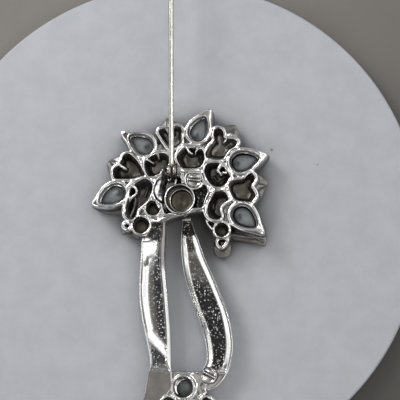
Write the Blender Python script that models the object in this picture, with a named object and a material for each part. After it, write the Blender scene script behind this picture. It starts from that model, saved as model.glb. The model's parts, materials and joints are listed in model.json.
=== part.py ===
"""Flower dress pin (brooch), lying face down with its pin stem swung open.

Frame: +Z is the back of the brooch, Z = 0 is the plane its stone tables rest on,
the origin is under the middle of the centre cup, +Y runs towards the flower's top.
All driving sizes are in millimetres and are turned into metres when a mesh is made.
"""
import math

import bmesh
import bpy
from mathutils import Vector

MM = 0.001

# ---------------------------------------------------------------- driving sizes
CREST = 5.4             # height of the polished ridges on the flower's back
WEB_LOW = 1.6           # underside of the web that ties the cells together
WEB_TOP = 2.9           # floor of the recess in the middle
GAP = 0.3               # clearance between neighbouring pieces

CUP_R = 2.92            # centre cup, outer radius
CUP_BORE = 2.38         # centre cup, open back
CUP_STEP = 2.1          # inner ring deeper in the cup

STONE_LEN = 6.2         # pear stones
STONE_WID = 4.2
STONE_TABLE = 0.0
STONE_GIRDLE = 1.7
STONE_CULET = 4.3

AXIS_X = -1.65          # middle of the hinge
AXIS_Y = 4.7
AXIS_Z = 6.7            # height of the hinge axis
KNUCKLE_R = 1.0
KNUCKLE_HALF = 0.9      # half its width along the axis
EAR_R = 1.15
RIVET_R = 0.33
PIN_R = 0.5
PIN_LEN = 49.3          # hinge axis to point
PIN_SHIFT = 0.2         # the stem leaves the knuckle on its right side
PIN_LIFT = 3.0          # degrees above the back at the opening stop

CATCH_X = AXIS_X + PIN_SHIFT
CATCH_Y = -43.0
CATCH_IN = 0.8          # bore that the pin drops into
CATCH_OUT = 1.25
LOCK_IN = 1.55
LOCK_OUT = 2.05
LOCK_LEN = 1.5
CATCH_FLANGE = 0.55

# ---------------------------------------------------------------- clean scene
for old in list(bpy.data.objects):
    bpy.data.objects.remove(old, do_unlink=True)


# ---------------------------------------------------------------- materials
def material(name, colour, rough, metal, transmission=0.0):
    mat = bpy.data.materials.new(name)
    mat.use_nodes = True
    bsdf = mat.node_tree.nodes["Principled BSDF"]
    bsdf.inputs["Base Color"].default_value = (*colour, 1.0)
    bsdf.inputs["Roughness"].default_value = rough
    bsdf.inputs["Metallic"].default_value = metal
    bsdf.inputs["Transmission Weight"].default_value = transmission
    return mat


PLATE = material("bright_plating", (0.78, 0.77, 0.76), 0.08, 1.0)
WIRE = material("pin_wire", (0.80, 0.79, 0.74), 0.16, 1.0)
TUBE = material("cup_metal", (0.62, 0.61, 0.58), 0.12, 1.0)
FOIL = material("foiled_stone", (0.42, 0.45, 0.48), 0.22, 0.2)


# ---------------------------------------------------------------- outlines
def spline_loop(points, per=2, corners=()):
    """Closed smooth outline through the points; a corner keeps its sharp turn."""
    count = len(points)
    pts = [Vector(p) for p in points]
    slope = []
    for i in range(count):
        tangent = (pts[(i + 1) % count] - pts[i - 1]) * 0.5
        slope.append(tangent * (0.0 if i in corners else 1.0))
    out = []
    for i in range(count):
        a, b = pts[i], pts[(i + 1) % count]
        for k in range(per):
            t = k / per
            h1 = 2 * t**3 - 3 * t**2 + 1
            h2 = t**3 - 2 * t**2 + t
            h3 = t**3 - t**2
            out.append(a * h1 + slope[i] * h2 + b * (1 - h1) + slope[(i + 1) % count] * h3)
    return oriented(out)


def oriented(loop):
    area = sum(a.x * b.y - b.x * a.y for a, b in zip(loop, loop[1:] + loop[:1]))
    return loop if area > 0 else list(reversed(loop))


def circle(cx, cy, radius, count=24, start=0.0, squash=1.0):
    step = 2 * math.pi / count
    return [Vector((cx + radius * math.cos(start + i * step),
                    cy + radius * squash * math.sin(start + i * step)))
            for i in range(count)]


def drop(cx, cy, heading, length, width, count=20):
    """Pear outline with its point along the heading, in degrees."""
    turn = math.radians(heading)
    out = []
    for i in range(count):
        a = 2 * math.pi * i / count
        x = 0.5 * length * math.cos(a) + 0.06 * length
        taper = 1.0 - 0.42 * (0.5 + 0.5 * math.cos(a)) ** 1.5
        y = 0.53 * width * math.sin(a) * taper * 1.08
        out.append(Vector((cx + x * math.cos(turn) - y * math.sin(turn),
                           cy + x * math.sin(turn) + y * math.cos(turn))))
    return out


def grow(loop, amount):
    """Outline moved outwards by the amount, inwards when it is negative."""
    out = []
    count = len(loop)
    for i, here in enumerate(loop):
        before = (here - loop[i - 1]).normalized()
        after = (loop[(i + 1) % count] - here).normalized()
        n1 = Vector((before.y, -before.x))
        n2 = Vector((after.y, -after.x))
        mid = n1 + n2
        mid = mid.normalized() if mid.length > 1e-6 else n1
        out.append(here + mid * (amount / max(mid.dot(n1), 0.75)))
    return out


def centre_of(loop):
    return sum(loop, Vector((0.0, 0.0))) / len(loop)


def shrink(loop, factor, centre=None):
    mid = centre or centre_of(loop)
    return [mid + (p - mid) * factor for p in loop]


def reach(loop, tip, power=6.0):
    """Outline drawn out to a pointed tip."""
    if tip is None:
        return loop
    mid = centre_of(loop)
    goal = Vector(tip)
    along = (goal - mid).normalized()
    best = max(loop, key=lambda p: (p - mid).normalized().dot(along))
    out = []
    for p in loop:
        near = max((p - mid).normalized().dot(along), 0.0) ** power
        out.append(p + (goal - best) * near)
    return out


# ---------------------------------------------------------------- solids
def mesh_of(name, rings, mat=None, closed=False):
    """Skin over rings of (outline, z); each end is capped."""
    bm = bmesh.new()
    rows = []
    for outline, z in rings:
        rows.append([bm.verts.new((p.x * MM, p.y * MM, z * MM)) for p in outline])
    count = len(rows[0])
    pairs = list(zip(rows, rows[1:]))
    if closed:
        pairs.append((rows[-1], rows[0]))
    for low, high in pairs:
        for i in range(count):
            j = (i + 1) % count
            bm.faces.new((low[i], low[j], high[j], high[i]))
    if not closed:
        bm.faces.new(list(reversed(rows[0])))
        bm.faces.new(rows[-1])
    bmesh.ops.recalc_face_normals(bm, faces=bm.faces)
    mesh = bpy.data.meshes.new(name)
    bm.to_mesh(mesh)
    bm.free()
    if mat:
        mesh.materials.append(mat)
    return mesh


def place(name, mesh, parent=None, location=(0, 0, 0)):
    obj = bpy.data.objects.new(name, mesh)
    bpy.context.scene.collection.objects.link(obj)
    obj.parent = parent
    obj.location = Vector(location) * MM
    return obj


def guide(name, rings, group):
    """A cutter or a filler: it shapes another piece and isn't one itself."""
    obj = bpy.data.objects.new(name, mesh_of(name, rings))
    group.objects.link(obj)
    obj.hide_render = True
    obj.display_type = "WIRE"
    return obj


def collection(name):
    group = bpy.data.collections.new(name)
    bpy.context.scene.collection.children.link(group)
    return group


def boolean(obj, label, operation, group):
    mod = obj.modifiers.new(label, "BOOLEAN")
    mod.operation = operation
    mod.operand_type = "COLLECTION"
    mod.collection = group
    mod.solver = "EXACT"
    mod.use_self = True
    return mod


def lathe(name, profile, mat, count=28, centre=(0.0, 0.0)):
    """Turned solid of (radius, z) stations from the bottom up."""
    rings = [(circle(centre[0], centre[1], r, count), z) for r, z in profile]
    return mesh_of(name, rings, mat)


# ---------------------------------------------------------------- flower cells
# centre, heading, length and width of each pear cell, and the low point of its wall
PEARS = [
    ("pear_1", (-7.25, 10.75), 147.0, 6.0, 4.5, (-11.9, 13.6)),
    ("pear_2", (3.55, 13.35), 66.0, 5.8, 4.5, (6.2, 17.7)),
    ("pear_3", (12.0, 7.15), 14.0, 6.4, 4.8, (17.1, 8.5)),
    ("pear_4", (12.15, -3.4), -40.0, 6.5, 4.9, (16.0, -8.4)),
    ("pear_5", (-12.8, 1.1), 208.0, 6.3, 4.5, (-17.4, -0.8)),
]

# smooth outlines of the hollow petals and leaves along the tops of their ridges
PETALS = {
    "petal_1": [(-7, 7.6), (-6.3, 8.3), (-5.1, 9), (-3.8, 9.3), (-2.6, 9), (-1.9, 8.2), (-1.9, 7),
                (-2.6, 5.8), (-3.8, 4.8), (-5.3, 4.2), (-6.3, 4.5), (-7, 6)],
    "petal_2": [(-0.7, 7.9), (-0.2, 9.1), (0.6, 10), (1.4, 10.3), (2.3, 9.8), (2.7, 8.9), (3.2, 9.8),
                (4.1, 9.9), (4.7, 9.2), (5, 8), (4.7, 6.8), (4.1, 6), (2.9, 5.7), (1.4, 5.7), (0.2, 6)],
    "petal_3": [(4.5, 5.1), (4.7, 6.3), (5.4, 7), (6.4, 7.2), (7.5, 7.1), (8.3, 6.4), (7.5, 5.4),
                (8.5, 4.8), (9.6, 4.7), (9.9, 4), (9.4, 3.3), (8.9, 2.5), (7.9, 2), (6.9, 2), (5.8, 2.6), (5, 3.7)],
    "petal_4": [(4.8, -2.2), (5, -0.9), (5.6, 0.3), (6.2, 1.3), (7, 1.6), (8.1, 1.6), (8.9, 1.1),
                (9.4, 0.1), (9.4, -0.6), (8.4, -1.1), (7.8, -2.1), (8.1, -3.2), (7.9, -4), (7, -4.3), (6, -4.1), (5.1, -3.4)],
    "petal_5": [(-5.1, 2.9), (-5.9, 3.9), (-6.8, 4.1), (-7.8, 3.9), (-9, 3.4), (-9.7, 2.8), (-10.1, 1.8), (-10.3, 0.5),
                (-10.6, -0.9), (-10.8, -2.2), (-10.6, -3.3), (-9.8, -4), (-8.9, -4), (-8.2, -3.3), (-8, -2.3),
                (-7.4, -1.6), (-6.6, -1), (-5.9, -0.2), (-5.4, 0.8), (-5.1, 1.9)],
}
LEAVES = {
    "leaf_1": ([(-3.9, 12.6), (-4.2, 13.3), (-3.8, 14), (-3, 14.1), (-2.4, 13.7), (-1.9, 13.2), (-1.3, 13.8), (-0.5, 14.4),
                (0.3, 14), (0.6, 13.2), (0.4, 12), (0.5, 10.9), (0, 10.3), (-0.9, 9.8), (-2.3, 9.9), (-3.2, 11)], (-2.7, 16.6)),
    "leaf_2": ([(-12.8, 4.1), (-13.1, 5.2), (-12.9, 6.2), (-12.1, 6.8), (-11.5, 7.6), (-11.2, 8.6), (-10.4, 9.1),
                (-9.7, 9.1), (-8.8, 8.4), (-8, 7.6), (-7.4, 6.6), (-6.9, 5.5), (-6.6, 4.6), (-7.6, 4.3), (-9, 3.9),
                (-10.5, 3.8), (-11.9, 3.8)], (-14.2, 8.2)),
    "leaf_3": ([(4.9, 9.1), (5.6, 10.4), (6.4, 11.3), (6.2, 12.5), (6.5, 13.5), (7.2, 13.9), (8.1, 13.6), (8.6, 12.8),
                (8.7, 11.9), (9.4, 11.7), (10.6, 11.6), (11.3, 10.9), (10.8, 9.9), (9.8, 9.3), (9, 8.3), (8.4, 7.5),
                (6.6, 7.4), (5, 7.9)], (10.6, 14.3)),
    "leaf_4": ([(9.9, 3.5), (10.9, 3.8), (12.1, 3.9), (12.8, 4.6), (13.5, 5), (14.2, 4.8), (14.6, 4), (14.4, 3.1),
                (13.9, 2.3), (14.4, 1.5), (14.7, 0.6), (14.4, -0.2), (13.8, -0.9), (12.6, -0.9), (11.1, -0.7),
                (10.2, -0.2), (9.7, 0.7), (9.3, 1.7), (9.3, 2.7)], (16.7, 2.9)),
    "leaf_5": ([(6.7, -6.5), (7, -7.6), (7.3, -8.8), (8, -9.5), (8.8, -9.3), (9.1, -8.2), (9.3, -7),
                (8.9, -6.3), (8, -6), (7.2, -6)], (9.2, -10.6)),
    "leaf_6": ([(-10.9, -2.6), (-11, -3.9), (-11, -5.2), (-10.3, -6), (-9.3, -6.3), (-8.6, -6.3), (-8.4, -5.2),
                (-8.8, -4.2), (-9.8, -3.6)], (-11.9, -5.8)),
}
RINGS = [
    ("ring_a", -5.1, -1.7, 1.55, 5.2),
    ("ring_b", -7.5, -5.0, 1.75, 5.0),
    ("ring_c", 8.0, -6.0, 1.45, 4.9),
]
RECESS = [(-3.6, 4), (-4.4, 2.5), (-4.7, 1.2), (-4.1, -0.1), (-3.4, -0.9), (-3.4, -2.2), (-3, -3), (-1.8, -3),
          (-0.3, -2.7), (1.4, -2.2), (3.5, -2), (4.6, -1.7), (5, -0.1), (5.6, 1.6), (4.7, 3.5), (4, 5.1),
          (2, 5.3), (0.6, 5.4), (-0.4, 5.7), (-2, 5.2)]
WEB = [(-12, 3), (-11, 7), (-7.5, 10), (-2.5, 11.5), (3, 12), (8.5, 11), (12, 7.5), (13, 2), (11, -3.5),
       (8.3, -6), (5.6, -3.6), (3.4, -2.4), (0.5, -2.7), (-3, -3.3), (-5.2, -3.5), (-8, -5.5), (-10.4, -4.5), (-11.5, 0)]

fill = collection("flower_fill")
cut = collection("flower_cut")


def wall(name, loop, crest, low, tip=None, spread=0.85):
    """Outside of a cell: a narrow crest that widens to its foot."""
    foot = reach(grow(loop, spread), tip)
    mid = reach(grow(loop, 0.5), tip, 10.0) if tip else grow(loop, 0.5)
    mid = [a.lerp(b, 0.35) for a, b in zip(grow(loop, 0.5), mid)]
    guide(name + "_wall", [(shrink(foot, 0.9), low - 0.5), (foot, low), (mid, crest - 0.6),
                           (grow(loop, 0.16), crest)], fill)


def hollow(name, loop, crest, floor, inner=0.66):
    """Inside of a cell, down to its closed floor."""
    guide(name + "_hollow", [(shrink(loop, inner * 0.8), floor), (shrink(loop, inner), floor + 0.25),
                             (grow(loop, -0.42), crest - 0.55), (grow(loop, -0.16), crest),
                             (grow(loop, -0.1), crest + 0.6)], cut)


def flower_body():
    mesh = mesh_of("flower_casting", [(spline_loop(WEB, 2), WEB_LOW), (spline_loop(WEB, 2), WEB_TOP)], PLATE)
    obj = place("flower_casting", mesh)
    step = 0.0
    for name, mid, heading, length, width, tip in PEARS:
        step += 0.013
        loop = drop(*mid, heading, length, width)
        wall(name, loop, CREST - 0.1 + step, 1.35 + step, tip, 0.95)
        guide(name + "_back", [(grow(loop, -0.42), 2.4), (grow(loop, -0.42), CREST - 0.6),
                               (grow(loop, -0.16), CREST), (grow(loop, -0.1), CREST + 0.6)], cut)
        seat = drop(*stone_centre(mid, heading), heading, STONE_LEN + 2 * GAP, STONE_WID + 2 * GAP)
        guide(name + "_seat", [(seat, 0.3), (seat, 2.5 + step)], cut)
    for name, points in PETALS.items():
        step += 0.013
        loop = spline_loop(points, 1)
        wall(name, loop, CREST - 0.05 + step, 1.5 + step, None, 0.6)
        hollow(name, loop, CREST - 0.05 + step, 2.55)
    for name, (points, tip) in LEAVES.items():
        step += 0.013
        loop = spline_loop(points, 1)
        crest = 4.5 if name == "leaf_5" else 5.1
        wall(name, loop, crest + step, 1.45 + step, tip, 0.7)
        hollow(name, loop, crest + step, 2.3)
    for name, x, y, radius, crest in RINGS:
        step += 0.013
        loop = circle(x, y, radius, 18)
        wall(name, loop, crest + step, 1.4 + step, None, 0.45)
        guide(name + "_bore", [(circle(x, y, radius - 0.3, 18), 2.2), (circle(x, y, radius - 0.25, 18), crest + 0.6)], cut)
        guide(name + "_seat", [(circle(x, y, radius - 0.02, 18), 0.3), (circle(x, y, radius - 0.02, 18), 2.3 + step)], cut)
    loop = spline_loop(RECESS, 1)
    guide("recess_wall", [(grow(loop, 0.45), 1.9), (grow(loop, 0.5), CREST - 0.7), (grow(loop, 0.16), CREST + 0.02)], fill)
    guide("recess_hollow", [(grow(loop, -0.5), WEB_TOP + 0.02), (grow(loop, -0.42), CREST - 0.6),
                            (grow(loop, -0.1), CREST + 0.6)], cut)
    guide("cup_hole", [(circle(0, 0, CUP_R + GAP, 28), 0.3), (circle(0, 0, CUP_R + GAP, 28), CREST + 0.7)], cut)
    guide("hinge_seat", [(box(-3.8, 3.0, 1.2, 6.0), WEB_TOP - 0.01), (box(-3.8, 3.0, 1.2, 6.0), CREST + 0.7)], cut)
    guide("rivet_hole", [(circle(2.65, 3.75, 0.7 + GAP, 16), 0.3), (circle(2.65, 3.75, 0.7 + GAP, 16), 4.0)], cut)
    guide("rivet_room", [(circle(2.65, 3.75, 1.58, 24), WEB_TOP), (circle(2.65, 3.75, 1.58, 24), CREST - 0.5)], cut)
    boolean(obj, "cells", "UNION", fill)
    boolean(obj, "hollows", "DIFFERENCE", cut)
    return obj


def box(x0, y0, x1, y1):
    return [Vector((x0, y0)), Vector((x1, y0)), Vector((x1, y1)), Vector((x0, y1))]


def stone_centre(mid, heading):
    turn = math.radians(heading)
    return (mid[0] + 0.35 * math.cos(turn), mid[1] + 0.35 * math.sin(turn))


def pear_stone(name, mid, heading):
    x, y = stone_centre(mid, heading)
    turn = math.radians(heading)
    culet = Vector((x - 0.55 * math.cos(turn), y - 0.55 * math.sin(turn)))
    girdle = drop(x, y, heading, STONE_LEN, STONE_WID)
    back = grow(drop(*mid, heading, STONE_LEN - 0.2, STONE_WID), -0.95)
    rings = [
        (shrink(girdle, 0.62), STONE_TABLE),
        (girdle, STONE_GIRDLE - 0.4),
        (girdle, STONE_GIRDLE),
        (back, 2.9),
        (shrink(back, 0.12, culet), STONE_CULET),
    ]
    return place(name, mesh_of(name, rings, FOIL))


def round_stone(name, x, y, radius, table=0.0, crown=1.3, top=2.2):
    mesh = lathe(name, [(radius * 0.6, table), (radius, table + crown), (radius, table + crown + 0.3),
                        (radius * 0.15, top)], FOIL, 18, (x, y))
    return place(name, mesh)


flower = flower_body()
for i, (name, mid, heading, length, width, tip) in enumerate(PEARS):
    pear_stone("pear_stone_%d" % (i + 1), mid, heading)
for tag, (name, x, y, radius, crest) in zip("abc", RINGS):
    round_stone("round_stone_" + tag, x, y, radius - 0.32, 0.2, 0.9, 2.0)


# ---------------------------------------------------------------- middle of the flower
place("centre_cup", lathe("centre_cup", [
    (0.15, 2.3), (2.45, 2.3), (2.55, 0.9), (CUP_R, 0.95), (CUP_R, CREST - 0.3), (CUP_R - 0.15, CREST),
    (CUP_BORE + 0.15, CREST - 0.02), (CUP_BORE, CREST - 0.3), (CUP_BORE, 3.8), (CUP_STEP, 3.7),
    (CUP_STEP, 3.0), (0.15, 2.9)], TUBE))
round_stone("centre_stone", 0.0, 0.0, 2.2, 0.0, 1.1, 2.05)


def rivet(name, x, y, radius, seat, low):
    """Dished rivet head on a round shank."""
    mesh = lathe(name, [(0.68, low), (0.7, seat), (radius, seat + 0.05), (radius, seat + 0.85),
                        (radius - 0.15, seat + 1.1), (radius - 0.32, seat + 1.02), (radius - 0.45, seat + 0.8),
                        (0.2, seat + 0.72)], PLATE, 24, (x, y))
    return place(name, mesh)


rivet("rivet_upper", 2.65, 3.75, 1.4, WEB_TOP + GAP, 1.2)


# ---------------------------------------------------------------- stems
def skin(name, rings, mat):
    """Skin over rings of 3-D points, capped at both ends."""
    bm = bmesh.new()
    rows = [[bm.verts.new((x * MM, y * MM, z * MM)) for x, y, z in ring] for ring in rings]
    count = len(rows[0])
    for low, high in zip(rows, rows[1:]):
        for i in range(count):
            j = (i + 1) % count
            bm.faces.new((low[i], low[j], high[j], high[i]))
    bm.faces.new(list(reversed(rows[0])))
    bm.faces.new(rows[-1])
    bmesh.ops.recalc_face_normals(bm, faces=bm.faces)
    mesh = bpy.data.meshes.new(name)
    bm.to_mesh(mesh)
    bm.free()
    mesh.materials.append(mat)
    return mesh


def channel_rings(stations, low=1.2):
    """Cross sections of a channelled bar between its left and right feet."""
    rings = []
    for lx, ly, rx, ry, rim, floor in stations:
        left, right = Vector((lx, ly)), Vector((rx, ry))
        across = (right - left).normalized()
        width = (right - left).length
        side = min(0.35, 0.12 * width)
        crest = min(0.75, 0.25 * width)
        foot = min(1.15, 0.36 * width)
        section = [(0.15, low), (0.0, low + 0.6), (side, rim - 0.15), (side + 0.12, rim), (crest, rim - 0.05),
                   (foot, floor), (width - foot, floor), (width - crest, rim - 0.05),
                   (width - side - 0.12, rim), (width - side, rim - 0.15), (width, low + 0.6), (width - 0.15, low)]
        rings.append([(left.x + across.x * d, left.y + across.y * d, z) for d, z in section])
    return rings


LEFT_STEM = [
    (-4.75, -4.2, -2.85, -4.0, 3.5, 2.7), (-4.85, -5.6, -2.85, -5.6, 3.6, 2.6), (-5.5, -6.9, -2.85, -7.0, 3.7, 2.5),
    (-7.2, -7.9, -2.85, -8.4, 3.8, 2.5), (-7.7, -10.5, -2.9, -10.8, 3.9, 2.5), (-7.9, -14, -2.75, -14, 3.9, 2.5),
    (-7.95, -18, -2.35, -18, 3.9, 2.5), (-7.5, -22, -2.0, -22, 3.9, 2.5), (-6.75, -25.6, -1.75, -25.6, 3.8, 2.5),
    (-6.2, -29.5, -1.65, -29.5, 3.7, 2.5), (-6.1, -32, -1.75, -32, 3.4, 2.7), (-6.35, -34, -2.3, -34, 3.1, 2.95),
    (-6.8, -36, -2.6, -36.2, 3.05, 3.0), (-7.3, -38, -4.8, -38.3, 3.05, 3.0), (-7.9, -40.2, -5.0, -40.2, 3.05, 3.0),
    (-8.1, -42.3, -5.5, -42.3, 3.0, 2.9), (-7.5, -44.1, -6.4, -44.1, 2.9, 2.8),
]
RIGHT_STEM = [
    (0.3, -3.65, 2.0, -3.45, 3.5, 2.7), (0.2, -5.5, 2.7, -5.5, 3.7, 2.5), (0.0, -7.8, 3.7, -7.9, 3.8, 2.4),
    (0.1, -10.6, 4.8, -11, 3.9, 2.4), (0.5, -13.5, 6.3, -14.5, 3.9, 2.4), (1.3, -16.7, 7.7, -18, 3.9, 2.4),
    (2.4, -20, 9, -21.4, 3.9, 2.4), (3.8, -23.7, 9.8, -24.7, 3.9, 2.4), (4.6, -26.8, 10.1, -27.6, 3.8, 2.4),
    (4.9, -29.6, 9.85, -30.2, 3.7, 2.4), (4.7, -31, 9.2, -32.4, 3.3, 2.6), (4.2, -32.1, 7.9, -34.3, 3.0, 2.9),
    (4.1, -33.3, 6.6, -35.5, 3.0, 2.9), (4.4, -34.9, 5.1, -36.0, 2.9, 2.8),
]
place("stem_left", skin("stem_left", channel_rings(LEFT_STEM), PLATE))

right_stem = place("stem_right", skin("stem_right", channel_rings(RIGHT_STEM), PLATE))
RIVET_LOW = (5.5, -33.3)
eye = collection("stem_eye")
guide("stem_rivet_hole", [(circle(*RIVET_LOW, 0.7 + GAP, 16), 0.5), (circle(*RIVET_LOW, 0.7 + GAP, 16), 5.0)], eye)
boolean(right_stem, "rivet_eye", "DIFFERENCE", eye)
rivet("rivet_lower", *RIVET_LOW, 1.6, 3.45, 1.1)

# ---------------------------------------------------------------- lower cluster
LOW_RINGS = [
    ("low_ring_1", 0.8, -35.3, 2.4, 5.0, 2.0),
    ("low_ring_2", -2.1, -38.9, 1.7, 4.8, 1.38),
    ("low_ring_3", 2.2, -40.0, 1.8, 4.8, 1.45),
]
CLUSTER = [(-1.3, -33), (0.8, -32.7), (3.2, -32.75), (3.6, -33.4), (3.7, -36), (5.5, -37.6), (5.6, -39.6), (3.6, -42),
           (2.0, -43.4), (0.8, -46), (-1.2, -46.2), (-3, -45), (-4, -42.6), (-4, -40.4), (-3.6, -37), (-1.9, -36.2)]
LOW_LEAF = [(3.9, -37.6), (5.2, -37.2), (6.6, -38.2), (7.2, -39.6), (6.8, -40.8), (5.4, -40.7), (4.3, -39.6)]
low_fill = collection("cluster_fill")
low_cut = collection("cluster_cut")
loop = spline_loop(CLUSTER, 1)
cluster = place("lower_cluster", mesh_of("lower_cluster", [(shrink(loop, 0.96), 1.3), (loop, 1.9), (loop, 3.5),
                                                           (shrink(loop, 0.97), 3.8)], PLATE))
for name, x, y, radius, crest, stone in LOW_RINGS:
    ring = circle(x, y, radius, 24)
    guide(name + "_wall", [(grow(ring, 0.3), 1.05), (grow(ring, 0.4), 1.6), (grow(ring, 0.3), crest - 0.5),
                           (grow(ring, 0.1), crest)], low_fill)
    guide(name + "_bore", [(grow(ring, -0.42), 1.9), (grow(ring, -0.36), crest - 0.3), (grow(ring, -0.1), crest),
                           (grow(ring, -0.05), crest + 0.6)], low_cut)
    seat = circle(x, y, stone + GAP, 24)
    guide(name + "_seat", [(seat, 0.3), (seat, 2.4)], low_cut)
    round_stone(name.replace("ring", "stone"), x, y, stone, 0.0, 1.0, 2.5)
leaf = spline_loop(LOW_LEAF, 2)
foot = reach(grow(leaf, 0.6), (8.1, -41.6))
guide("low_leaf_wall", [(foot, 1.5), (grow(leaf, 0.45), 4.0), (grow(leaf, 0.16), 4.4)], low_fill)
guide("low_leaf_hollow", [(shrink(leaf, 0.55), 2.5), (grow(leaf, -0.42), 4.0), (grow(leaf, -0.12), 4.9)], low_cut)
boolean(cluster, "settings", "UNION", low_fill)
boolean(cluster, "bores", "DIFFERENCE", low_cut)


# ---------------------------------------------------------------- hinge
def across_x(points, x0, x1):
    """Prism along X from an outline in (y, z)."""
    return [[(x, y, z) for y, z in points] for x in (x0, x1)]


def yz_circle(y, z, radius, count=20):
    return [(y + radius * math.cos(2 * math.pi * i / count), z + radius * math.sin(2 * math.pi * i / count))
            for i in range(count)]


def ear(half, low):
    """Round-headed lug standing on the hinge plate."""
    arc = [(AXIS_Y + EAR_R * math.cos(math.radians(a)), AXIS_Z + EAR_R * math.sin(math.radians(a)))
           for a in range(-20, 201, 20)]
    return arc + [(AXIS_Y - half, low), (AXIS_Y + half, low)]


def solid(name, rings, group=None, mat=PLATE):
    mesh = skin(name, rings, mat)
    if group is None:
        return place(name, mesh)
    obj = bpy.data.objects.new(name, mesh)
    group.objects.link(obj)
    obj.hide_render = True
    obj.display_type = "WIRE"
    return obj


PLATE_LOW = WEB_TOP + GAP
PLATE_TOP = PLATE_LOW + 0.65
hinge_fill = collection("hinge_fill")
hinge_cut = collection("hinge_cut")
hinge = place("hinge_base", mesh_of("hinge_base", [(box(-3.5, 3.3, 0.9, 5.7), PLATE_LOW),
                                                   (box(-3.5, 3.3, 0.9, 5.7), PLATE_TOP)], PLATE))
solid("ear_left", across_x(ear(1.0, PLATE_LOW + 0.2), -3.4, -2.66), hinge_fill)
solid("ear_right", across_x(ear(0.98, PLATE_LOW + 0.21), -0.64, -0.08), hinge_fill)
solid("hinge_flange", across_x([(3.4, PLATE_LOW + 0.3), (5.6, PLATE_LOW + 0.3), (5.6, 4.5), (5.4, 4.7),
                                (3.6, 4.7), (3.4, 4.5)], 0.15, 0.8), hinge_fill)
solid("opening_stop", across_x([(5.0, PLATE_LOW + 0.31), (5.65, PLATE_LOW + 0.31), (5.68, 5.5), (6.2, 5.75), (6.2, 6.15),
                                (5.95, 6.15), (5.25, 5.4)], -2.3, -1.0), hinge_fill)
solid("hinge_bore", across_x(yz_circle(AXIS_Y, AXIS_Z, RIVET_R + 0.1, 16), -5, 2), hinge_cut)
solid("knuckle_room", across_x(yz_circle(AXIS_Y, AXIS_Z, KNUCKLE_R + 0.18, 24), -2.66, -0.64), hinge_cut)
boolean(hinge, "lugs", "UNION", hinge_fill)
boolean(hinge, "bore", "DIFFERENCE", hinge_cut)

heads = [(-3.85, 0.35), (-3.75, 0.58), (-3.5, 0.62), (-3.45, RIVET_R), (-0.04, RIVET_R), (0.0, 0.6), (0.22, 0.56), (0.32, 0.35)]
solid("hinge_rivet", [[(x, y, z) for y, z in yz_circle(AXIS_Y, AXIS_Z, r, 16)] for x, r in heads], None, WIRE)

# the pin's empty sits on the hinge axis
axis = bpy.data.objects.new("pin_axis", None)
bpy.context.scene.collection.objects.link(axis)
axis.location = Vector((AXIS_X, AXIS_Y, AXIS_Z)) * MM
pin_fill = collection("pin_fill")
pin_cut = collection("pin_cut")


def pin_local(name, rings, group=None):
    mesh = skin(name, rings, WIRE)
    if group is None:
        return place(name, mesh, axis)
    obj = bpy.data.objects.new(name, mesh)
    group.objects.link(obj)
    obj.parent = axis
    obj.hide_render = True
    obj.display_type = "WIRE"
    return obj


knuckle = [(-KNUCKLE_HALF, 0.82), (-KNUCKLE_HALF + 0.12, KNUCKLE_R), (-0.1, KNUCKLE_R), (0.02, 0.85),
           (0.14, KNUCKLE_R), (KNUCKLE_HALF - 0.12, KNUCKLE_R), (KNUCKLE_HALF, 0.82)]
pin = pin_local("pin_stem", [[(x, y, z) for y, z in yz_circle(0, 0, r, 20)] for x, r in knuckle])
lift = math.radians(PIN_LIFT)
stations = [(0.55, 0.42), (1.2, PIN_R), (PIN_LEN * 0.5, PIN_R), (PIN_LEN - 5.0, PIN_R), (PIN_LEN - 2.2, 0.36), (PIN_LEN, 0.06)]
rings = []
for reach_out, radius in stations:
    mid_y = reach_out * math.cos(lift)
    mid_z = reach_out * math.sin(lift)
    rings.append([(PIN_SHIFT + radius * math.cos(a), mid_y - radius * math.sin(a) * math.sin(lift),
                   mid_z + radius * math.sin(a) * math.cos(lift))
                  for a in [2 * math.pi * i / 12 for i in range(12)]])
pin_local("pin_wire", rings, pin_fill)
pin_local("pin_bore", [[(x, y, z) for y, z in yz_circle(0, 0, RIVET_R + 0.1, 16)] for x in (-2, 2)], pin_cut)
boolean(pin, "wire", "UNION", pin_fill)
boolean(pin, "eye", "DIFFERENCE", pin_cut)


# ---------------------------------------------------------------- safety catch
def around_y(radius, y0, y1, count=24):
    """Cylinder along Y on the catch's axis."""
    return [[(CATCH_X + radius * math.cos(2 * math.pi * i / count), y,
              AXIS_Z + radius * math.sin(2 * math.pi * i / count)) for i in range(count)] for y in (y0, y1)]


def block(x0, x1, y0, y1, z0, z1):
    return [[(x0, y, z0), (x1, y, z0), (x1, y, z1), (x0, y, z1)] for y in (y0, y1)]


HALF = LOCK_LEN / 2 + 0.1
catch_fill = collection("catch_fill")
catch_cut = collection("catch_cut")
pad_low = 3.8 + GAP
catch = solid("catch_base", block(CATCH_X - 1.5, CATCH_X + 1.5, CATCH_Y - HALF - 0.7, CATCH_Y + HALF + 0.7,
                                  pad_low, pad_low + 0.4))
solid("catch_tube", around_y(CATCH_OUT, CATCH_Y - HALF - 0.3, CATCH_Y + HALF + 0.3), catch_fill)
for side, tag in ((-1, "low"), (1, "high")):
    y0 = CATCH_Y + side * (HALF + CATCH_FLANGE / 2)
    solid("catch_flange_" + tag, around_y(1.75, y0 - CATCH_FLANGE / 2, y0 + CATCH_FLANGE / 2), catch_fill)
    solid("catch_leg_" + tag, block(CATCH_X - 1.1, CATCH_X + 1.1, y0 - CATCH_FLANGE / 2 + 0.01,
                                    y0 + CATCH_FLANGE / 2 - 0.01, pad_low + 0.2, AXIS_Z), catch_fill)
solid("catch_bore", around_y(CATCH_IN, CATCH_Y - 4, CATCH_Y + 4, 20), catch_cut)
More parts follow.
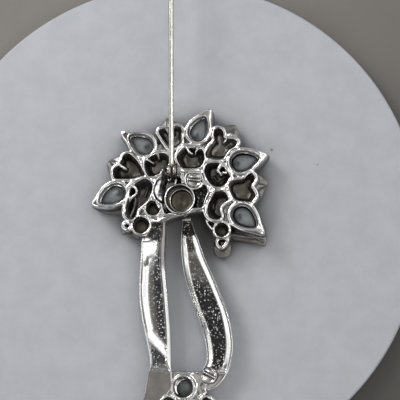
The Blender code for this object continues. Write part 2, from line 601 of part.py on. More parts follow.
solid("catch_slot", block(CATCH_X - 0.68, CATCH_X + 0.68, CATCH_Y - 4, CATCH_Y + 4, AXIS_Z, AXIS_Z + 3), catch_cut)
boolean(catch, "tube", "UNION", catch_fill)
boolean(catch, "throat", "DIFFERENCE", catch_cut)

turn = bpy.data.objects.new("lock_axis", None)
bpy.context.scene.collection.objects.link(turn)
turn.location = Vector((CATCH_X, CATCH_Y, AXIS_Z)) * MM
arc_steps = 18
opening = math.radians(36)
section = []
for i in range(arc_steps + 1):
    a = math.pi / 2 + opening + (2 * math.pi - 2 * opening) * i / arc_steps
    section.append((math.cos(a), math.sin(a)))
outer = [(LOCK_OUT * c, LOCK_OUT * s) for c, s in section]
inner = [(LOCK_IN * c, LOCK_IN * s) for c, s in reversed(section)]
lock_mesh = skin("catch_lock", [[(x, y, z) for x, z in outer + inner] for y in (-LOCK_LEN / 2, LOCK_LEN / 2)], PLATE)
lock = place("catch_lock", lock_mesh, turn)
lock_fill = collection("lock_fill")
tab = bpy.data.objects.new("lock_tab", skin("lock_tab", [
    [(1.75, y * w, 0.15), (2.95, y * w, 0.35), (3.0, y * w, 0.75), (1.7, y * w, 0.95)] for y, w in ((-1, 0.55), (1, 0.55))], PLATE))
lock_fill.objects.link(tab)
tab.parent = turn
tab.hide_render = True
tab.display_type = "WIRE"
boolean(lock, "tab", "UNION", lock_fill)

for obj in bpy.data.objects:
    if obj.type == "MESH":
        for poly in obj.data.polygons:
            poly.use_smooth = False
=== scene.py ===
"""Finished look of a plated flower dress pin: casting, stones, stems, hinge, pin and catch."""

import json
import math

import bmesh
import bpy
import numpy as np
from mathutils import Matrix, Vector, noise

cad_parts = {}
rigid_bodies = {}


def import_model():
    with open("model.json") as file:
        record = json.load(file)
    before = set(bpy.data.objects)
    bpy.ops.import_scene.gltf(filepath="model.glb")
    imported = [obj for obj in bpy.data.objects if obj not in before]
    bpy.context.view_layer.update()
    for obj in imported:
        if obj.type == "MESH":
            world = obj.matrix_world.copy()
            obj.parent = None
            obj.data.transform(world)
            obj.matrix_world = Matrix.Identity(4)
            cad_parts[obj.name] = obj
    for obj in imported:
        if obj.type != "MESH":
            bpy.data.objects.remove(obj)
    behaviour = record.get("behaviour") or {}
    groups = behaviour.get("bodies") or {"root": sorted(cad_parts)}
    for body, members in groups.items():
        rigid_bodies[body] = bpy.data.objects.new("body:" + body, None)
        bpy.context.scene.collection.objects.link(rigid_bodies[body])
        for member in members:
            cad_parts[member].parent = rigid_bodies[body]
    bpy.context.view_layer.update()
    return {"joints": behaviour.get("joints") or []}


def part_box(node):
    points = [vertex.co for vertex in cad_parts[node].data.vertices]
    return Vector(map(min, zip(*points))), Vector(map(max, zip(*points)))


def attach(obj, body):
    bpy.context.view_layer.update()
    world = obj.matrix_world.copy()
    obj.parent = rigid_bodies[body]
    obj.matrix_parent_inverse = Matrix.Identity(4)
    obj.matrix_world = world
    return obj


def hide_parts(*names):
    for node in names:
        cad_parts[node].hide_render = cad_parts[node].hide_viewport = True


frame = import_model()

bl_info = {
    "name": "Flower dress pin",
    "version": (1, 0, 0),
    "blender": (4, 5, 0),
    "location": "View3D > Sidebar > Dress pin",
    "description": "Builds the finished pieces of a plated flower dress pin around its packed model",
    "category": "Object",
}

# every length below is in millimetres, in the frame of the packed model
MM = 0.001


def middle(node_name):
    """Centre of a packed node."""
    low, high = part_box(node_name)
    return (low + high) * (0.5 / MM)


CUP = middle("centre_cup")
UPPER_RIVET = middle("rivet_upper")
LOWER_RIVET = middle("rivet_lower")
JOINTS = {joint["name"]: joint for joint in frame["joints"]}
HINGE = Vector(JOINTS["pin_swing"]["pos_m"]) / MM
CATCH = Vector(JOINTS["lock_turn"]["pos_m"]) / MM
HINGE_BORE = 0.43


# ---------------------------------------------------------------- outlines
def spline_loop(points, per=6):
    """Closed smooth outline through the points, counter-clockwise."""
    pts = [Vector(p) for p in points]
    count = len(pts)
    slope = [(pts[(i + 1) % count] - pts[i - 1]) * 0.5 for i in range(count)]
    out = []
    for i in range(count):
        a, b = pts[i], pts[(i + 1) % count]
        for k in range(per):
            t = k / per
            h1 = 2 * t**3 - 3 * t**2 + 1
            h2 = t**3 - 2 * t**2 + t
            h3 = t**3 - t**2
            out.append(a * h1 + slope[i] * h2 + b * (1 - h1) + slope[(i + 1) % count] * h3)
    area = sum(a.x * b.y - b.x * a.y for a, b in zip(out, out[1:] + out[:1]))
    return out if area > 0 else out[::-1]


def spline_path(points, per):
    """Open smooth path through points of any dimension."""
    pts = [Vector(p) for p in points]
    ends = [pts[0] * 2 - pts[1]] + pts + [pts[-1] * 2 - pts[-2]]
    out = []
    for a, b, c, d in zip(ends, ends[1:], ends[2:], ends[3:]):
        for k in range(per):
            t = k / per
            out.append(0.5 * ((2 * b) + (c - a) * t + (2 * a - 5 * b + 4 * c - d) * t**2
                              + (3 * b - a - 3 * c + d) * t**3))
    out.append(pts[-1])
    return out


def round_turn(count):
    """Angles of a full turn, in radians."""
    return [2 * math.pi * i / count for i in range(count)]


def half_turn(count):
    return [math.pi * k / count for k in range(count + 1)]


def circle(cx, cy, radius, count=48):
    step = 2 * math.pi / count
    return [Vector((cx + radius * math.cos(i * step), cy + radius * math.sin(i * step))) for i in range(count)]


def drop(cx, cy, heading, length, width, count=60):
    """Pear outline with its point along the heading, in degrees."""
    turn = math.radians(heading)
    out = []
    for a in round_turn(count):
        x = 0.5 * length * math.cos(a) + 0.06 * length
        taper_here = 1.0 - 0.42 * (0.5 + 0.5 * math.cos(a)) ** 1.5
        y = 0.53 * width * math.sin(a) * taper_here * 1.08
        out.append(Vector((cx + x * math.cos(turn) - y * math.sin(turn),
                           cy + x * math.sin(turn) + y * math.cos(turn))))
    return out


def grow(loop, amount):
    """Outline moved outwards by the amount, inwards when it is negative."""
    out = []
    count = len(loop)
    for i, here in enumerate(loop):
        before = (here - loop[i - 1]).normalized()
        after = (loop[(i + 1) % count] - here).normalized()
        n1 = Vector((before.y, -before.x))
        n2 = Vector((after.y, -after.x))
        mid = n1 + n2
        mid = mid.normalized() if mid.length > 1e-6 else n1
        out.append(here + mid * (amount / max(mid.dot(n1), 0.75)))
    return out


def centre_of(loop):
    return sum(loop, Vector((0.0, 0.0))) / len(loop)


def shrink(loop, factor, centre=None):
    mid = centre or centre_of(loop)
    return [mid + (p - mid) * factor for p in loop]


def reach(loop, tip, power):
    """Outline drawn out to a pointed tip."""
    if tip is None:
        return loop
    mid = centre_of(loop)
    goal = Vector(tip)
    along = (goal - mid).normalized()
    best = max(loop, key=lambda p: (p - mid).normalized().dot(along))
    return [p + (goal - best) * max((p - mid).normalized().dot(along), 0.0) ** power for p in loop]


def between(first, second, share):
    return [a.lerp(b, share) for a, b in zip(first, second)]


def rise(loop, *steps):
    """Rings of an outline, each moved outwards: pairs of move and height."""
    return [(grow(loop, move) if move else loop, z) for move, z in steps]


def taper(loop, *steps, centre=None):
    """Rings of an outline, each scaled about its middle: pairs of share and height."""
    return [(shrink(loop, share, centre) if share != 1 else loop, z) for share, z in steps]


# ---------------------------------------------------------------- meshes
def skin(name, rings):
    """Closed mesh skinned over rings of 3-D points."""
    bm = bmesh.new()
    rows = [[bm.verts.new((p[0] * MM, p[1] * MM, p[2] * MM)) for p in ring] for ring in rings]
    count = len(rows[0])
    for low, high in zip(rows, rows[1:]):
        for i in range(count):
            j = (i + 1) % count
            bm.faces.new((low[i], low[j], high[j], high[i]))
    bm.faces.new(list(reversed(rows[0])))
    bm.faces.new(rows[-1])
    bmesh.ops.recalc_face_normals(bm, faces=bm.faces)
    mesh = bpy.data.meshes.new(name)
    bm.to_mesh(mesh)
    bm.free()
    return mesh


def stack(name, rings):
    """Mesh skinned over (outline, height) rings."""
    return skin(name, [[(p.x, p.y, z) for p in loop] for loop, z in rings])


def turned(name, profile, x=0.0, y=0.0, count=64):
    """Turned mesh of (radius, height) stations."""
    return stack(name, [(circle(x, y, radius, count), z) for radius, z in profile])


def block(name, x0, x1, y0, y1, z0, z1):
    return skin(name, [[(x0, y, z0), (x1, y, z0), (x1, y, z1), (x0, y, z1)] for y in (y0, y1)])


def add(name, mesh):
    obj = bpy.data.objects.new(name, mesh)
    bpy.context.scene.collection.objects.link(obj)
    return obj


def settle(obj):
    """Turns an object's modifiers into its mesh."""
    graph = bpy.context.evaluated_depsgraph_get()
    graph.update()
    mesh = bpy.data.meshes.new_from_object(obj.evaluated_get(graph))
    old = obj.data
    obj.modifiers.clear()
    obj.data = mesh
    bpy.data.meshes.remove(old)
    mesh.name = obj.name


def smooth(obj, angle):
    obj.data.shade_smooth()
    obj.data.set_sharp_from_angle(angle=math.radians(angle))
    return obj


def modifier(obj, label, kind, **settings):
    """Adds a modifier with its settings."""
    mod = obj.modifiers.new(label, kind)
    for key, value in settings.items():
        setattr(mod, key, value)


def bevel(obj, width):
    """Rounds the edges and shades the piece smooth between its corners."""
    modifier(obj, "edge round", "BEVEL", width=width * MM, segments=3, limit_method="ANGLE",
             angle_limit=math.radians(40), harden_normals=False)
    settle(obj)
    smooth(obj, 40)


def discard(obj):
    mesh = obj.data
    bpy.data.objects.remove(obj, do_unlink=True)
    bpy.data.meshes.remove(mesh)


def combine(obj, operation, meshes):
    """Joins closed meshes to an object, or cuts them out of it."""
    group = bpy.data.collections.new(operation.lower())
    bpy.context.scene.collection.children.link(group)
    for mesh in meshes:
        group.objects.link(bpy.data.objects.new(mesh.name, mesh))
    modifier(obj, operation.lower(), "BOOLEAN", operation=operation, operand_type="COLLECTION",
             collection=group, solver="EXACT", use_self=True)
    settle(obj)
    for part in list(group.objects):
        discard(part)
    bpy.data.collections.remove(group)


def merge(name, meshes):
    """One mesh from several closed ones."""
    bm = bmesh.new()
    for mesh in meshes:
        bm.from_mesh(mesh)
        bpy.data.meshes.remove(mesh)
    mesh = bpy.data.meshes.new(name)
    bm.to_mesh(mesh)
    bm.free()
    return mesh


def remeshed(obj, voxel, passes=0):
    modifier(obj, "cast skin", "REMESH", mode="VOXEL", voxel_size=voxel * MM, use_smooth_shade=True)
    if passes:
        modifier(obj, "tumbled", "SMOOTH", factor=0.5, iterations=passes)
    settle(obj)
    return obj


def per_point(obj, what):
    values = np.zeros(len(obj.data.vertices) * 3, np.float32)
    obj.data.vertices.foreach_get(what, values)
    return values.reshape(-1, 3)


def points_of(obj):
    return per_point(obj, "co") / MM


def move_points(obj, pts):
    obj.data.vertices.foreach_set("co", (pts * MM).ravel())
    obj.data.update()


def wavy(obj, amount, size):
    """Uneven cast surface: every point moves a little along its normal, more on low plates."""
    pts = points_of(obj)
    for i, (p, n) in enumerate(zip(pts.tolist(), per_point(obj, "normal").tolist())):
        spot = Vector(p) / size
        low = 2.0 if 2.3 < p[2] < 4.3 and n[2] > 0.2 else 1.0
        move = (noise.noise(spot) + 0.5 * noise.noise(spot * 2.3 + Vector((5.0, 1.0, 3.0)))) * amount * low
        pts[i] += np.array(n, np.float32) * move
    move_points(obj, pts)


def casting(name, walls, cuts, late, voxel, passes, faces=190000):
    """Fuses the walls, carves the cuts out of them, adds the late details and gives all of it a cast skin."""
    obj = remeshed(add(name, merge(name, walls)), voxel)
    tool = remeshed(add("carving tool", merge("carving tool", cuts)), voxel)
    modifier(obj, "carve", "BOOLEAN", operation="DIFFERENCE", object=tool, solver="MANIFOLD")
    settle(obj)
    discard(tool)
    old = obj.data
    obj.data = merge(name, [old.copy()] + late)
    bpy.data.meshes.remove(old)
    remeshed(obj, voxel * 0.9, passes)
    total = 2 * len(obj.data.polygons)
    if total > faces:
        modifier(obj, "lighter", "DECIMATE", ratio=faces / total)
        settle(obj)
    wavy(obj, 0.08, 1.7)
    obj.data.shade_smooth()
    return obj


def inside(x, y, loop):
    """Which points lie inside an outline."""
    hit = np.zeros(len(x), bool)
    for a, b in zip(loop, loop[1:] + loop[:1]):
        if a.y != b.y:
            hit ^= ((a.y > y) != (b.y > y)) & (x < (b.x - a.x) * (y - a.y) / (b.y - a.y) + a.x)
    return hit


def ramp(values, low, high):
    t = np.clip((values - low) / (high - low), 0.0, 1.0)
    return t * t * (3.0 - 2.0 * t)


def smoothstep(value, low, high):
    """The same ramp for a single number."""
    t = min(max((value - low) / (high - low), 0.0), 1.0)
    return t * t * (3.0 - 2.0 * t)


def paint(obj, **layers):
    """Stores named shares, from 0 to 1, on an object's points: how grainy it is there, how dark it is, and how
    much painted shade, with a duller finish, it gets.
    """
    for name, values in layers.items():
        layer = obj.data.attributes.new(name, "FLOAT", "POINT")
        layer.data.foreach_set("value", np.ascontiguousarray(np.broadcast_to(values, len(layer.data)),
                                                             np.float32))


def hand_over(obj, node_name, body, slot_name, *materials):
    """Gives a piece its materials, the body it rides on and the packed node it replaces. Its slot name is not
    used.
    """
    for material in materials:
        obj.data.materials.append(material)
    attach(obj, body)
    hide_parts(node_name)


# ---------------------------------------------------------------- node helpers
def node(tree, kind, **values):
    """Shader node; each value is a setting, an input's number or a socket to link to the input."""
    item = tree.nodes.new(kind)
    for key, value in values.items():
        if key not in item.inputs:
            setattr(item, key, value)
        elif isinstance(value, bpy.types.NodeSocket):
            tree.links.new(value, item.inputs[key])
        else:
            item.inputs[key].default_value = value
    return item


def feed(tree, item, *values):
    """Fills a node's inputs in their order with sockets or numbers; None leaves one as it is."""
    for value, target in zip(values, item.inputs):
        if isinstance(value, bpy.types.NodeSocket):
            tree.links.new(value, target)
        elif value is not None:
            target.default_value = value
    return item


def scaled_position(tree):
    """Object coordinates in millimetres."""
    coords = tree.nodes.new("ShaderNodeTexCoord")
    size = node(tree, "ShaderNodeVectorMath", operation="SCALE", Scale=1.0 / MM)
    return feed(tree, size, coords.outputs["Object"]).outputs[0]


def mapped(tree, source, low, high, out_low=0.0, out_high=1.0):
    item = node(tree, "ShaderNodeMapRange", interpolation_type="SMOOTHSTEP")
    return feed(tree, item, source, low, high, out_low, out_high).outputs["Result"]


def maths(tree, operation, first, second):
    return feed(tree, node(tree, "ShaderNodeMath", operation=operation), first, second).outputs[0]


def along(tree, place, direction):
    """How far a place lies along a direction."""
    item = node(tree, "ShaderNodeVectorMath", operation="DOT_PRODUCT")
    return feed(tree, item, place, direction).outputs["Value"]


def blended(tree, factor, first, second):
    """Mix of two colours, each a socket or three numbers."""
    item = node(tree, "ShaderNodeMix", data_type="RGBA")
    first, second = [(*c, 1.0) if isinstance(c, tuple) else c for c in (first, second)]
    return feed(tree, item, factor, *[None] * 5, first, second).outputs[2]


def dimmed(colour, factor):
    return tuple(c * factor for c in colour)


def separate(tree, colour, channel_name):
    return node(tree, "ShaderNodeSeparateColor", Color=colour).outputs[channel_name]


def reading(tree, name):
    """A layer stored by paint."""
    return node(tree, "ShaderNodeAttribute", attribute_name=name).outputs["Fac"]


def raised(tree, height, distance, strength, under=None):
    item = node(tree, "ShaderNodeBump", Strength=strength, Distance=distance * MM, Height=height)
    if under is not None:
        tree.links.new(under, item.inputs["Normal"])
    return item.outputs["Normal"]


def shared_group(name, setting, value, build):
    """Node group with one number as its setting; build gives its outputs as named sockets."""
    if name in bpy.data.node_groups:
        return bpy.data.node_groups[name]
    tree = bpy.data.node_groups.new(name, "ShaderNodeTree")
    tree.interface.new_socket(name=setting, in_out="INPUT", socket_type="NodeSocketFloat").default_value = value
    results = build(tree, scaled_position(tree), tree.nodes.new("NodeGroupInput").outputs[0])
    for label in results:
        tree.interface.new_socket(name=label, in_out="OUTPUT", socket_type="NodeSocketFloat")
    node(tree, "NodeGroupOutput", **results)
    return tree


def grainy_ground(tree, place, grain):
    """Grainy cast ground: pits and raised grains, with bright specks that are painted glints."""
    cells = node(tree, "ShaderNodeTexVoronoi", feature="SMOOTH_F1", Smoothness=0.25, Vector=place, Scale=grain)
    fine = node(tree, "ShaderNodeTexNoise", Detail=5.0, Roughness=0.7, Vector=place,
                Scale=maths(tree, "MULTIPLY", grain, 1.7))
    warp = node(tree, "ShaderNodeTexNoise", Scale=2.2, Detail=2.0, Roughness=0.6, Vector=place)
    shifted = node(tree, "ShaderNodeVectorMath", operation="MULTIPLY_ADD")
    feed(tree, shifted, warp.outputs["Color"], (0.5, 0.5, 0.5), place)
    dots = node(tree, "ShaderNodeTexVoronoi", feature="F1", Vector=shifted.outputs["Vector"],
                Scale=maths(tree, "MULTIPLY", grain, 1.1))
    bright = mapped(tree, dots.outputs["Distance"], 0.42, 0.2)
    some = mapped(tree, separate(tree, dots.outputs["Color"], "Red"), 0.48, 0.6)
    cloud = node(tree, "ShaderNodeTexNoise", Scale=0.55, Detail=3.0, Roughness=0.55, Vector=place)
    return {"Height": maths(tree, "ADD", cells.outputs["Distance"], fine.outputs["Fac"]),
            "Specks": maths(tree, "MULTIPLY", bright, some), "Cloud": cloud.outputs["Fac"]}


def handled_plating(tree, place, size):
    """Light wear of a handled plated piece: soft waves, hairline marks and dulled patches."""
    wave = node(tree, "ShaderNodeTexNoise", Detail=2.0, Roughness=0.5, Vector=place, Scale=size)
    turn = node(tree, "ShaderNodeMapping", Rotation=(0.3, 0.5, 0.7), Scale=(1.2, 16.0, 16.0), Vector=place)
    hair = node(tree, "ShaderNodeTexNoise", Scale=1.4, Detail=4.0, Roughness=0.65,
                Vector=turn.outputs["Vector"])
    dull = node(tree, "ShaderNodeTexNoise", Scale=0.9, Detail=4.0, Roughness=0.6, Vector=place)
    return {"Height": wave.outputs["Fac"], "Marks": mapped(tree, hair.outputs["Fac"], 0.58, 0.70),
            "Patches": dull.outputs["Fac"]}


def wear(tree, size):
    """Heights, marks and patches of handled plating."""
    group = shared_group("Handled plating", "Size", 1.0, handled_plating)
    return node(tree, "ShaderNodeGroup", node_tree=group, Size=size).outputs


def grains(tree, grain):
    """Heights, specks and clouds of the grainy ground."""
    group = shared_group("Grainy ground", "Grain", 3.0, grainy_ground)
    return node(tree, "ShaderNodeGroup", node_tree=group, Grain=grain).outputs


def fresh(name, **values):
    """New material with its numbers set straight on the shader."""
    mat = bpy.data.materials.new(name)
    mat.use_nodes = True
    tree = mat.node_tree
    bsdf = tree.nodes["Principled BSDF"]
    for label, value in values.items():
        bsdf.inputs[label.replace("_", " ")].default_value = value
    return mat, tree, bsdf


def finish(tree, bsdf, **sockets):
    """Links the varying inputs of the shader."""
    for label, source in sockets.items():
        tree.links.new(source, bsdf.inputs[label.replace("_", " ")])


def plating_material(name, bright, hollow, ground, shine):
    """Bright plating: polished ridges, painted shade towards the hollow colour with a duller finish there, and
    a grainy ground with painted glints.
    """
    if name in bpy.data.materials:
        return bpy.data.materials[name]
    mat, tree, bsdf = fresh(name, Metallic=1.0)
    worn, grain = wear(tree, 1.1), grains(tree, 2.6)
    deep, rough_ground = reading(tree, "hollow"), reading(tree, "ground")
    patch = mapped(tree, worn["Patches"], 0.35, 0.7)
    polished = blended(tree, patch, bright, dimmed(bright, 0.9))
    # painted shade: where the 'hollow' layer is high the plating turns to the hollow colour, which also stands
    # for a duller finish
    base = blended(tree, deep, polished, blended(tree, patch, hollow, dimmed(hollow, 1.5)))
    mottle = mapped(tree, grain["Height"], 0.55, 1.1)
    earth = blended(tree, mottle, dimmed(ground, 0.45), dimmed(ground, 1.9))
    # painted shade: the same layer darkens the grainy ground as well
    earth = blended(tree, maths(tree, "MULTIPLY", deep, 0.9), earth, (0.014, 0.012, 0.012))
    # painted glints: bright specks of the plating's bright colour on the grainy ground
    speck = blended(tree, grain["Specks"], earth, bright)
    rough = mapped(tree, worn["Patches"], 0.3, 0.75, shine, shine + 0.09)
    for source, amount in ((worn["Marks"], 0.10), (deep, 0.30), (rough_ground, 0.16)):
        rough = maths(tree, "ADD", rough, maths(tree, "MULTIPLY", source, amount))
    height = maths(tree, "MULTIPLY", grain["Height"], rough_ground)
    finish(tree, bsdf, Base_Color=blended(tree, rough_ground, base, speck), Roughness=rough,
           Normal=raised(tree, height, 0.16, 0.9, raised(tree, worn["Height"], 0.05, 0.25)))
    return mat


# dull names the colour that is mixed in as painted shade, together with a duller finish
def plating(context, name="bright plating", dull="hollow", shine=0.07):
    colours = context.scene.dresspin_colours
    return plating_material(name, colours.bright[:], getattr(colours, dull)[:], colours.ground[:], shine)


def wire_material(context):
    """Drawn wire: a warmer metal than the plating, with painted shade between the turns."""
    name = "pin wire"
    if name in bpy.data.materials:
        return bpy.data.materials[name]
    mat, tree, bsdf = fresh(name, Metallic=1.0)
    worn = wear(tree, 2.4)
    colour = context.scene.dresspin_colours.wire[:]
    base = blended(tree, mapped(tree, worn["Patches"], 0.35, 0.65), colour, (0.62, 0.61, 0.55))
    # painted shade from the 'hollow' layer, between the knuckle's turns
    base = blended(tree, reading(tree, "hollow"), base, (0.085, 0.055, 0.045))
    rough = mapped(tree, worn["Patches"], 0.3, 0.7, 0.13, 0.26)
    finish(tree, bsdf, Base_Color=base, Normal=raised(tree, worn["Height"], 0.05, 0.5),
           Roughness=maths(tree, "ADD", rough, maths(tree, "MULTIPLY", worn["Marks"], 0.1)))
    return mat


def foil_material(name, colour):
    """Painted foil on the back of a stone, darker round the point, with painted shade along its rim."""
    if name in bpy.data.materials:
        return bpy.data.materials[name]
    mat, tree, bsdf = fresh(name, Coat_Weight=0.12, Coat_Roughness=0.15)
    worn, grain = wear(tree, 1.6), grains(tree, 5.0)
    base = blended(tree, mapped(tree, worn["Patches"], 0.3, 0.7), colour, dimmed(colour, 0.75))
    culet = maths(tree, "MULTIPLY", reading(tree, "culet"), mapped(tree, grain["Height"], 0.8, 1.4, 1.0, 0.7))
    base = blended(tree, culet, base, (0.018, 0.02, 0.022))
    base = blended(tree, reading(tree, "rimshade"), base, (0.035, 0.038, 0.04))
    finish(tree, bsdf, Base_Color=base, Roughness=mapped(tree, worn["Patches"], 0.3, 0.7, 0.34, 0.5),
           Normal=raised(tree, grain["Cloud"], 0.10, 0.5))
    return mat


def crystal_material():
    """Cut front of a foiled stone."""
    name = "cut stone"
    if name in bpy.data.materials:
        return bpy.data.materials[name]
    mat, tree, bsdf = fresh(name, Metallic=0.85, Coat_Weight=1.0, Coat_Roughness=0.02, Coat_IOR=1.6)
    cells = node(tree, "ShaderNodeTexVoronoi", feature="F1", Scale=1.15, Vector=scaled_position(tree))
    shade = node(tree, "ShaderNodeSeparateColor", Color=cells.outputs["Color"]).outputs
    finish(tree, bsdf, Roughness=mapped(tree, shade["Blue"], 0.0, 1.0, 0.03, 0.14),
           Base_Color=blended(tree, mapped(tree, shade["Green"], 0.1, 0.9), (0.92, 0.95, 0.97),
                              (0.32, 0.36, 0.40)))
    return mat


# ---------------------------------------------------------------- sizes and colours
def length_setting(label, description, default, low, high):
    return bpy.props.FloatProperty(name=label, description=description + ", in millimetres", default=default,
                                   min=low, max=high)


def colour_setting(label, description, default):
    return bpy.props.FloatVectorProperty(name=label, description=description, subtype="COLOR", default=default,
                                         min=0.0, max=1.0)


class StoneSizes(bpy.types.PropertyGroup):
    """Sizes of the set stones."""
    length: length_setting("Pear length", "Length of a pear stone", 6.2, 3.0, 12.0)
    width: length_setting("Pear width", "Width of a pear stone", 4.2, 2.0, 9.0)
    girdle: length_setting("Girdle height", "Height of a stone's widest line", 1.7, 0.5, 3.0)
    culet: length_setting("Point height", "Height of a pear stone's back point", 4.3, 2.0, 6.0)
    claw: length_setting("Claw size", "Radius of the small claws on the front", 0.34, 0.1, 1.0)


class CastingSizes(bpy.types.PropertyGroup):
    """Sizes of the castings."""
    crest: length_setting("Ridge height", "Height of the ridges on the back", 5.4, 3.0, 8.0)
    floor: length_setting("Recess floor", "Height of the middle recess's floor", 2.9, 1.0, 5.0)
    skin: length_setting("Casting fineness", "Grid size of the cast skin", 0.105, 0.08, 0.4)


class PinSizes(bpy.types.PropertyGroup):
    """Sizes of the pin."""
    wire: length_setting("Wire radius", "Radius of the pin wire", 0.5, 0.3, 0.9)
    reach: length_setting("Pin length", "Hinge axis to point", 49.3, 20.0, 80.0)
    lift: bpy.props.FloatProperty(name="Open lift", description="Angle of the opened pin above the back",
                                  default=math.radians(3.0), subtype="ANGLE", unit="ROTATION")
    knuckle: length_setting("Knuckle radius", "Radius of the pin's knuckle", 1.0, 0.6, 2.0)
    offset: length_setting("Wire offset", "Wire's offset from the knuckle's middle", 0.2, -0.5, 0.5)


class FinishColours(bpy.types.PropertyGroup):
    """Colours of the finishes."""
    bright: colour_setting("Plating", "Polished plating", (0.86, 0.85, 0.84))
    # painted shade: the hollows colour darkens hollows, valleys, low plates and steep walls, together with a
    # duller finish
    hollow: colour_setting("Hollows", "Dulled plating inside the hollows", (0.075, 0.068, 0.058))
    ground: colour_setting("Ground", "Grainy ground of the recess and channels", (0.085, 0.087, 0.09))
    # painted shade: the cup colour darkens the deep inside of the centre cup, together with a duller finish
    cup: colour_setting("Cup inside", "Dull inside of the centre cup", (0.066, 0.06, 0.047))
    wire: colour_setting("Wire", "Pin wire", (0.80, 0.79, 0.73))
    foil: colour_setting("Foil", "Foil on the stones' backs", (0.235, 0.255, 0.265))


class StageSettings(bpy.types.PropertyGroup):
    """Floor, light and camera."""
    disc: length_setting("Disc radius", "Radius of the display disc", 48.0, 20.0, 200.0)
    floor: colour_setting("Disc colour", "Pale display disc", (0.415, 0.425, 0.45))
    table: colour_setting("Table colour", "Plain table under the disc", (0.19, 0.177, 0.16))
    window: bpy.props.FloatProperty(name="Window", description="Strength of the window light on the left",
                                    default=1.0, min=0.0, max=10.0)
    away: length_setting("Camera distance", "Distance from the camera to its aim", 240.0, 50.0, 1000.0)


# ---------------------------------------------------------------- the flower's cells
# name, middle, heading, length, width, low tip of the wall, stone point
PEARS = [
    ("pear_1", (-7.25, 10.75), 147.0, 6.0, 4.5, (-11.9, 13.6), (-6.4, 10.35)),
    ("pear_2", (3.55, 13.35), 66.0, 5.8, 4.5, (6.2, 17.7), (3.05, 12.35)),
    ("pear_3", (12.0, 7.15), 14.0, 6.4, 4.8, (17.1, 8.5), (10.85, 6.85)),
    ("pear_4", (12.15, -3.4), -40.0, 6.5, 4.9, (16.2, -7.3), (11.25, -3.4)),
    ("pear_5", (-12.8, 1.1), 208.0, 6.3, 4.5, (-17.4, -0.8), (-11.75, 1.4)),
]
PETALS = {
    "petal_1": [(-7, 7.6), (-6.3, 8.3), (-5.1, 9), (-3.8, 9.3), (-2.6, 9), (-1.9, 8.2), (-1.9, 7),
                (-2.6, 5.8), (-3.8, 4.8), (-5.3, 4.2), (-6.3, 4.5), (-7, 6)],
    "petal_2": [(-0.8, 7.9), (-0.5, 9.0), (0.35, 9.95), (1.1, 10.4), (2.0, 10.35), (3.0, 10.15), (4.1, 9.9),
                (4.7, 9.2), (5, 8), (4.7, 6.8), (4.1, 6), (2.9, 5.7), (1.4, 5.7), (0.2, 6)],
    "petal_3": [(4.5, 5.1), (4.7, 6.3), (5.4, 7), (6.4, 7.2), (7.5, 7.1), (8.4, 6.5), (9.0, 5.7), (9.5, 5.0),
                (9.9, 4.2), (9.4, 3.3), (8.9, 2.5), (7.9, 2), (6.9, 2), (5.8, 2.6), (5, 3.7)],
    "petal_4": [(4.8, -2.2), (5, -0.9), (5.6, 0.3), (6.2, 1.3), (7, 1.6), (8.1, 1.6), (8.9, 1.1), (9.4, 0.1),
                (9.4, -0.6), (8.4, -1.1), (7.8, -2.1), (8.1, -3.2), (7.9, -4), (7, -4.3), (6, -4.1),
                (5.1, -3.4)],
    "petal_5": [(-5.1, 2.9), (-5.9, 3.9), (-6.8, 4.1), (-7.8, 3.9), (-9, 3.4), (-9.7, 2.8), (-10.1, 1.8),
                (-10.3, 0.5), (-10.6, -0.9), (-10.8, -2.2), (-10.6, -3.3), (-9.8, -4), (-8.9, -4),
                (-8.2, -3.3), (-8, -2.3), (-7.4, -1.6), (-6.6, -1), (-5.9, -0.2), (-5.4, 0.8), (-5.1, 1.9)],
}
LEAVES = {
    "leaf_1": ([(-4.1, 12.5), (-4.4, 13.2), (-4.0, 13.9), (-3.2, 14.0), (-2.5, 14.0), (-1.8, 14.0),
                (-1.2, 14.3), (-0.5, 14.4), (0.3, 14), (0.6, 13.2), (0.4, 12), (0.5, 10.9), (0, 10.3),
                (-0.9, 9.8), (-2.3, 9.9), (-3.2, 11)], (-2.7, 16.6)),
    "leaf_2": ([(-12.8, 4.1), (-13.1, 5.2), (-12.9, 6.2), (-12.1, 6.8), (-11.5, 7.6), (-11.2, 8.6),
                (-10.4, 9.1), (-9.7, 9.1), (-8.8, 8.4), (-8, 7.6), (-7.4, 6.6), (-6.9, 5.5), (-6.6, 4.6),
                (-7.6, 4.3), (-9, 3.9), (-10.5, 3.8), (-11.9, 3.8)], (-14.2, 8.2)),
    "leaf_3": ([(4.9, 9.1), (5.6, 10.4), (6.4, 11.3), (6.2, 12.5), (6.5, 13.5), (7.2, 13.9), (8.1, 13.6),
                (8.6, 12.8), (8.7, 11.9), (9.4, 11.7), (10.6, 11.6), (11.3, 10.9), (10.8, 9.9), (9.8, 9.3),
                (9, 8.3), (8.4, 7.5), (6.6, 7.4), (5, 7.9)], (10.6, 14.3)),
    "leaf_4": ([(9.9, 3.5), (10.9, 3.8), (12.1, 3.9), (12.8, 4.6), (13.5, 5), (14.2, 4.8), (14.6, 4),
                (14.4, 3.1), (13.9, 2.3), (14.4, 1.5), (14.7, 0.6), (14.4, -0.2), (13.8, -0.9), (12.6, -0.9),
                (11.1, -0.7), (10.2, -0.2), (9.7, 0.7), (9.3, 1.7), (9.3, 2.7)], (16.7, 2.9)),
    "leaf_5": ([(7.2, -7.7), (7.1, -8.5), (7.4, -9.1), (8.0, -9.3), (8.6, -8.8), (9.0, -8.0), (8.9, -7.4),
                (8.0, -7.5)], (8.7, -10.6)),
    "leaf_6": ([(-10.7, -4.5), (-10.8, -5.2), (-10.2, -5.7), (-9.6, -5.6), (-9.4, -5.0), (-9.7, -4.5),
                (-10.2, -4.3)], (-11.6, -6.1)),
}
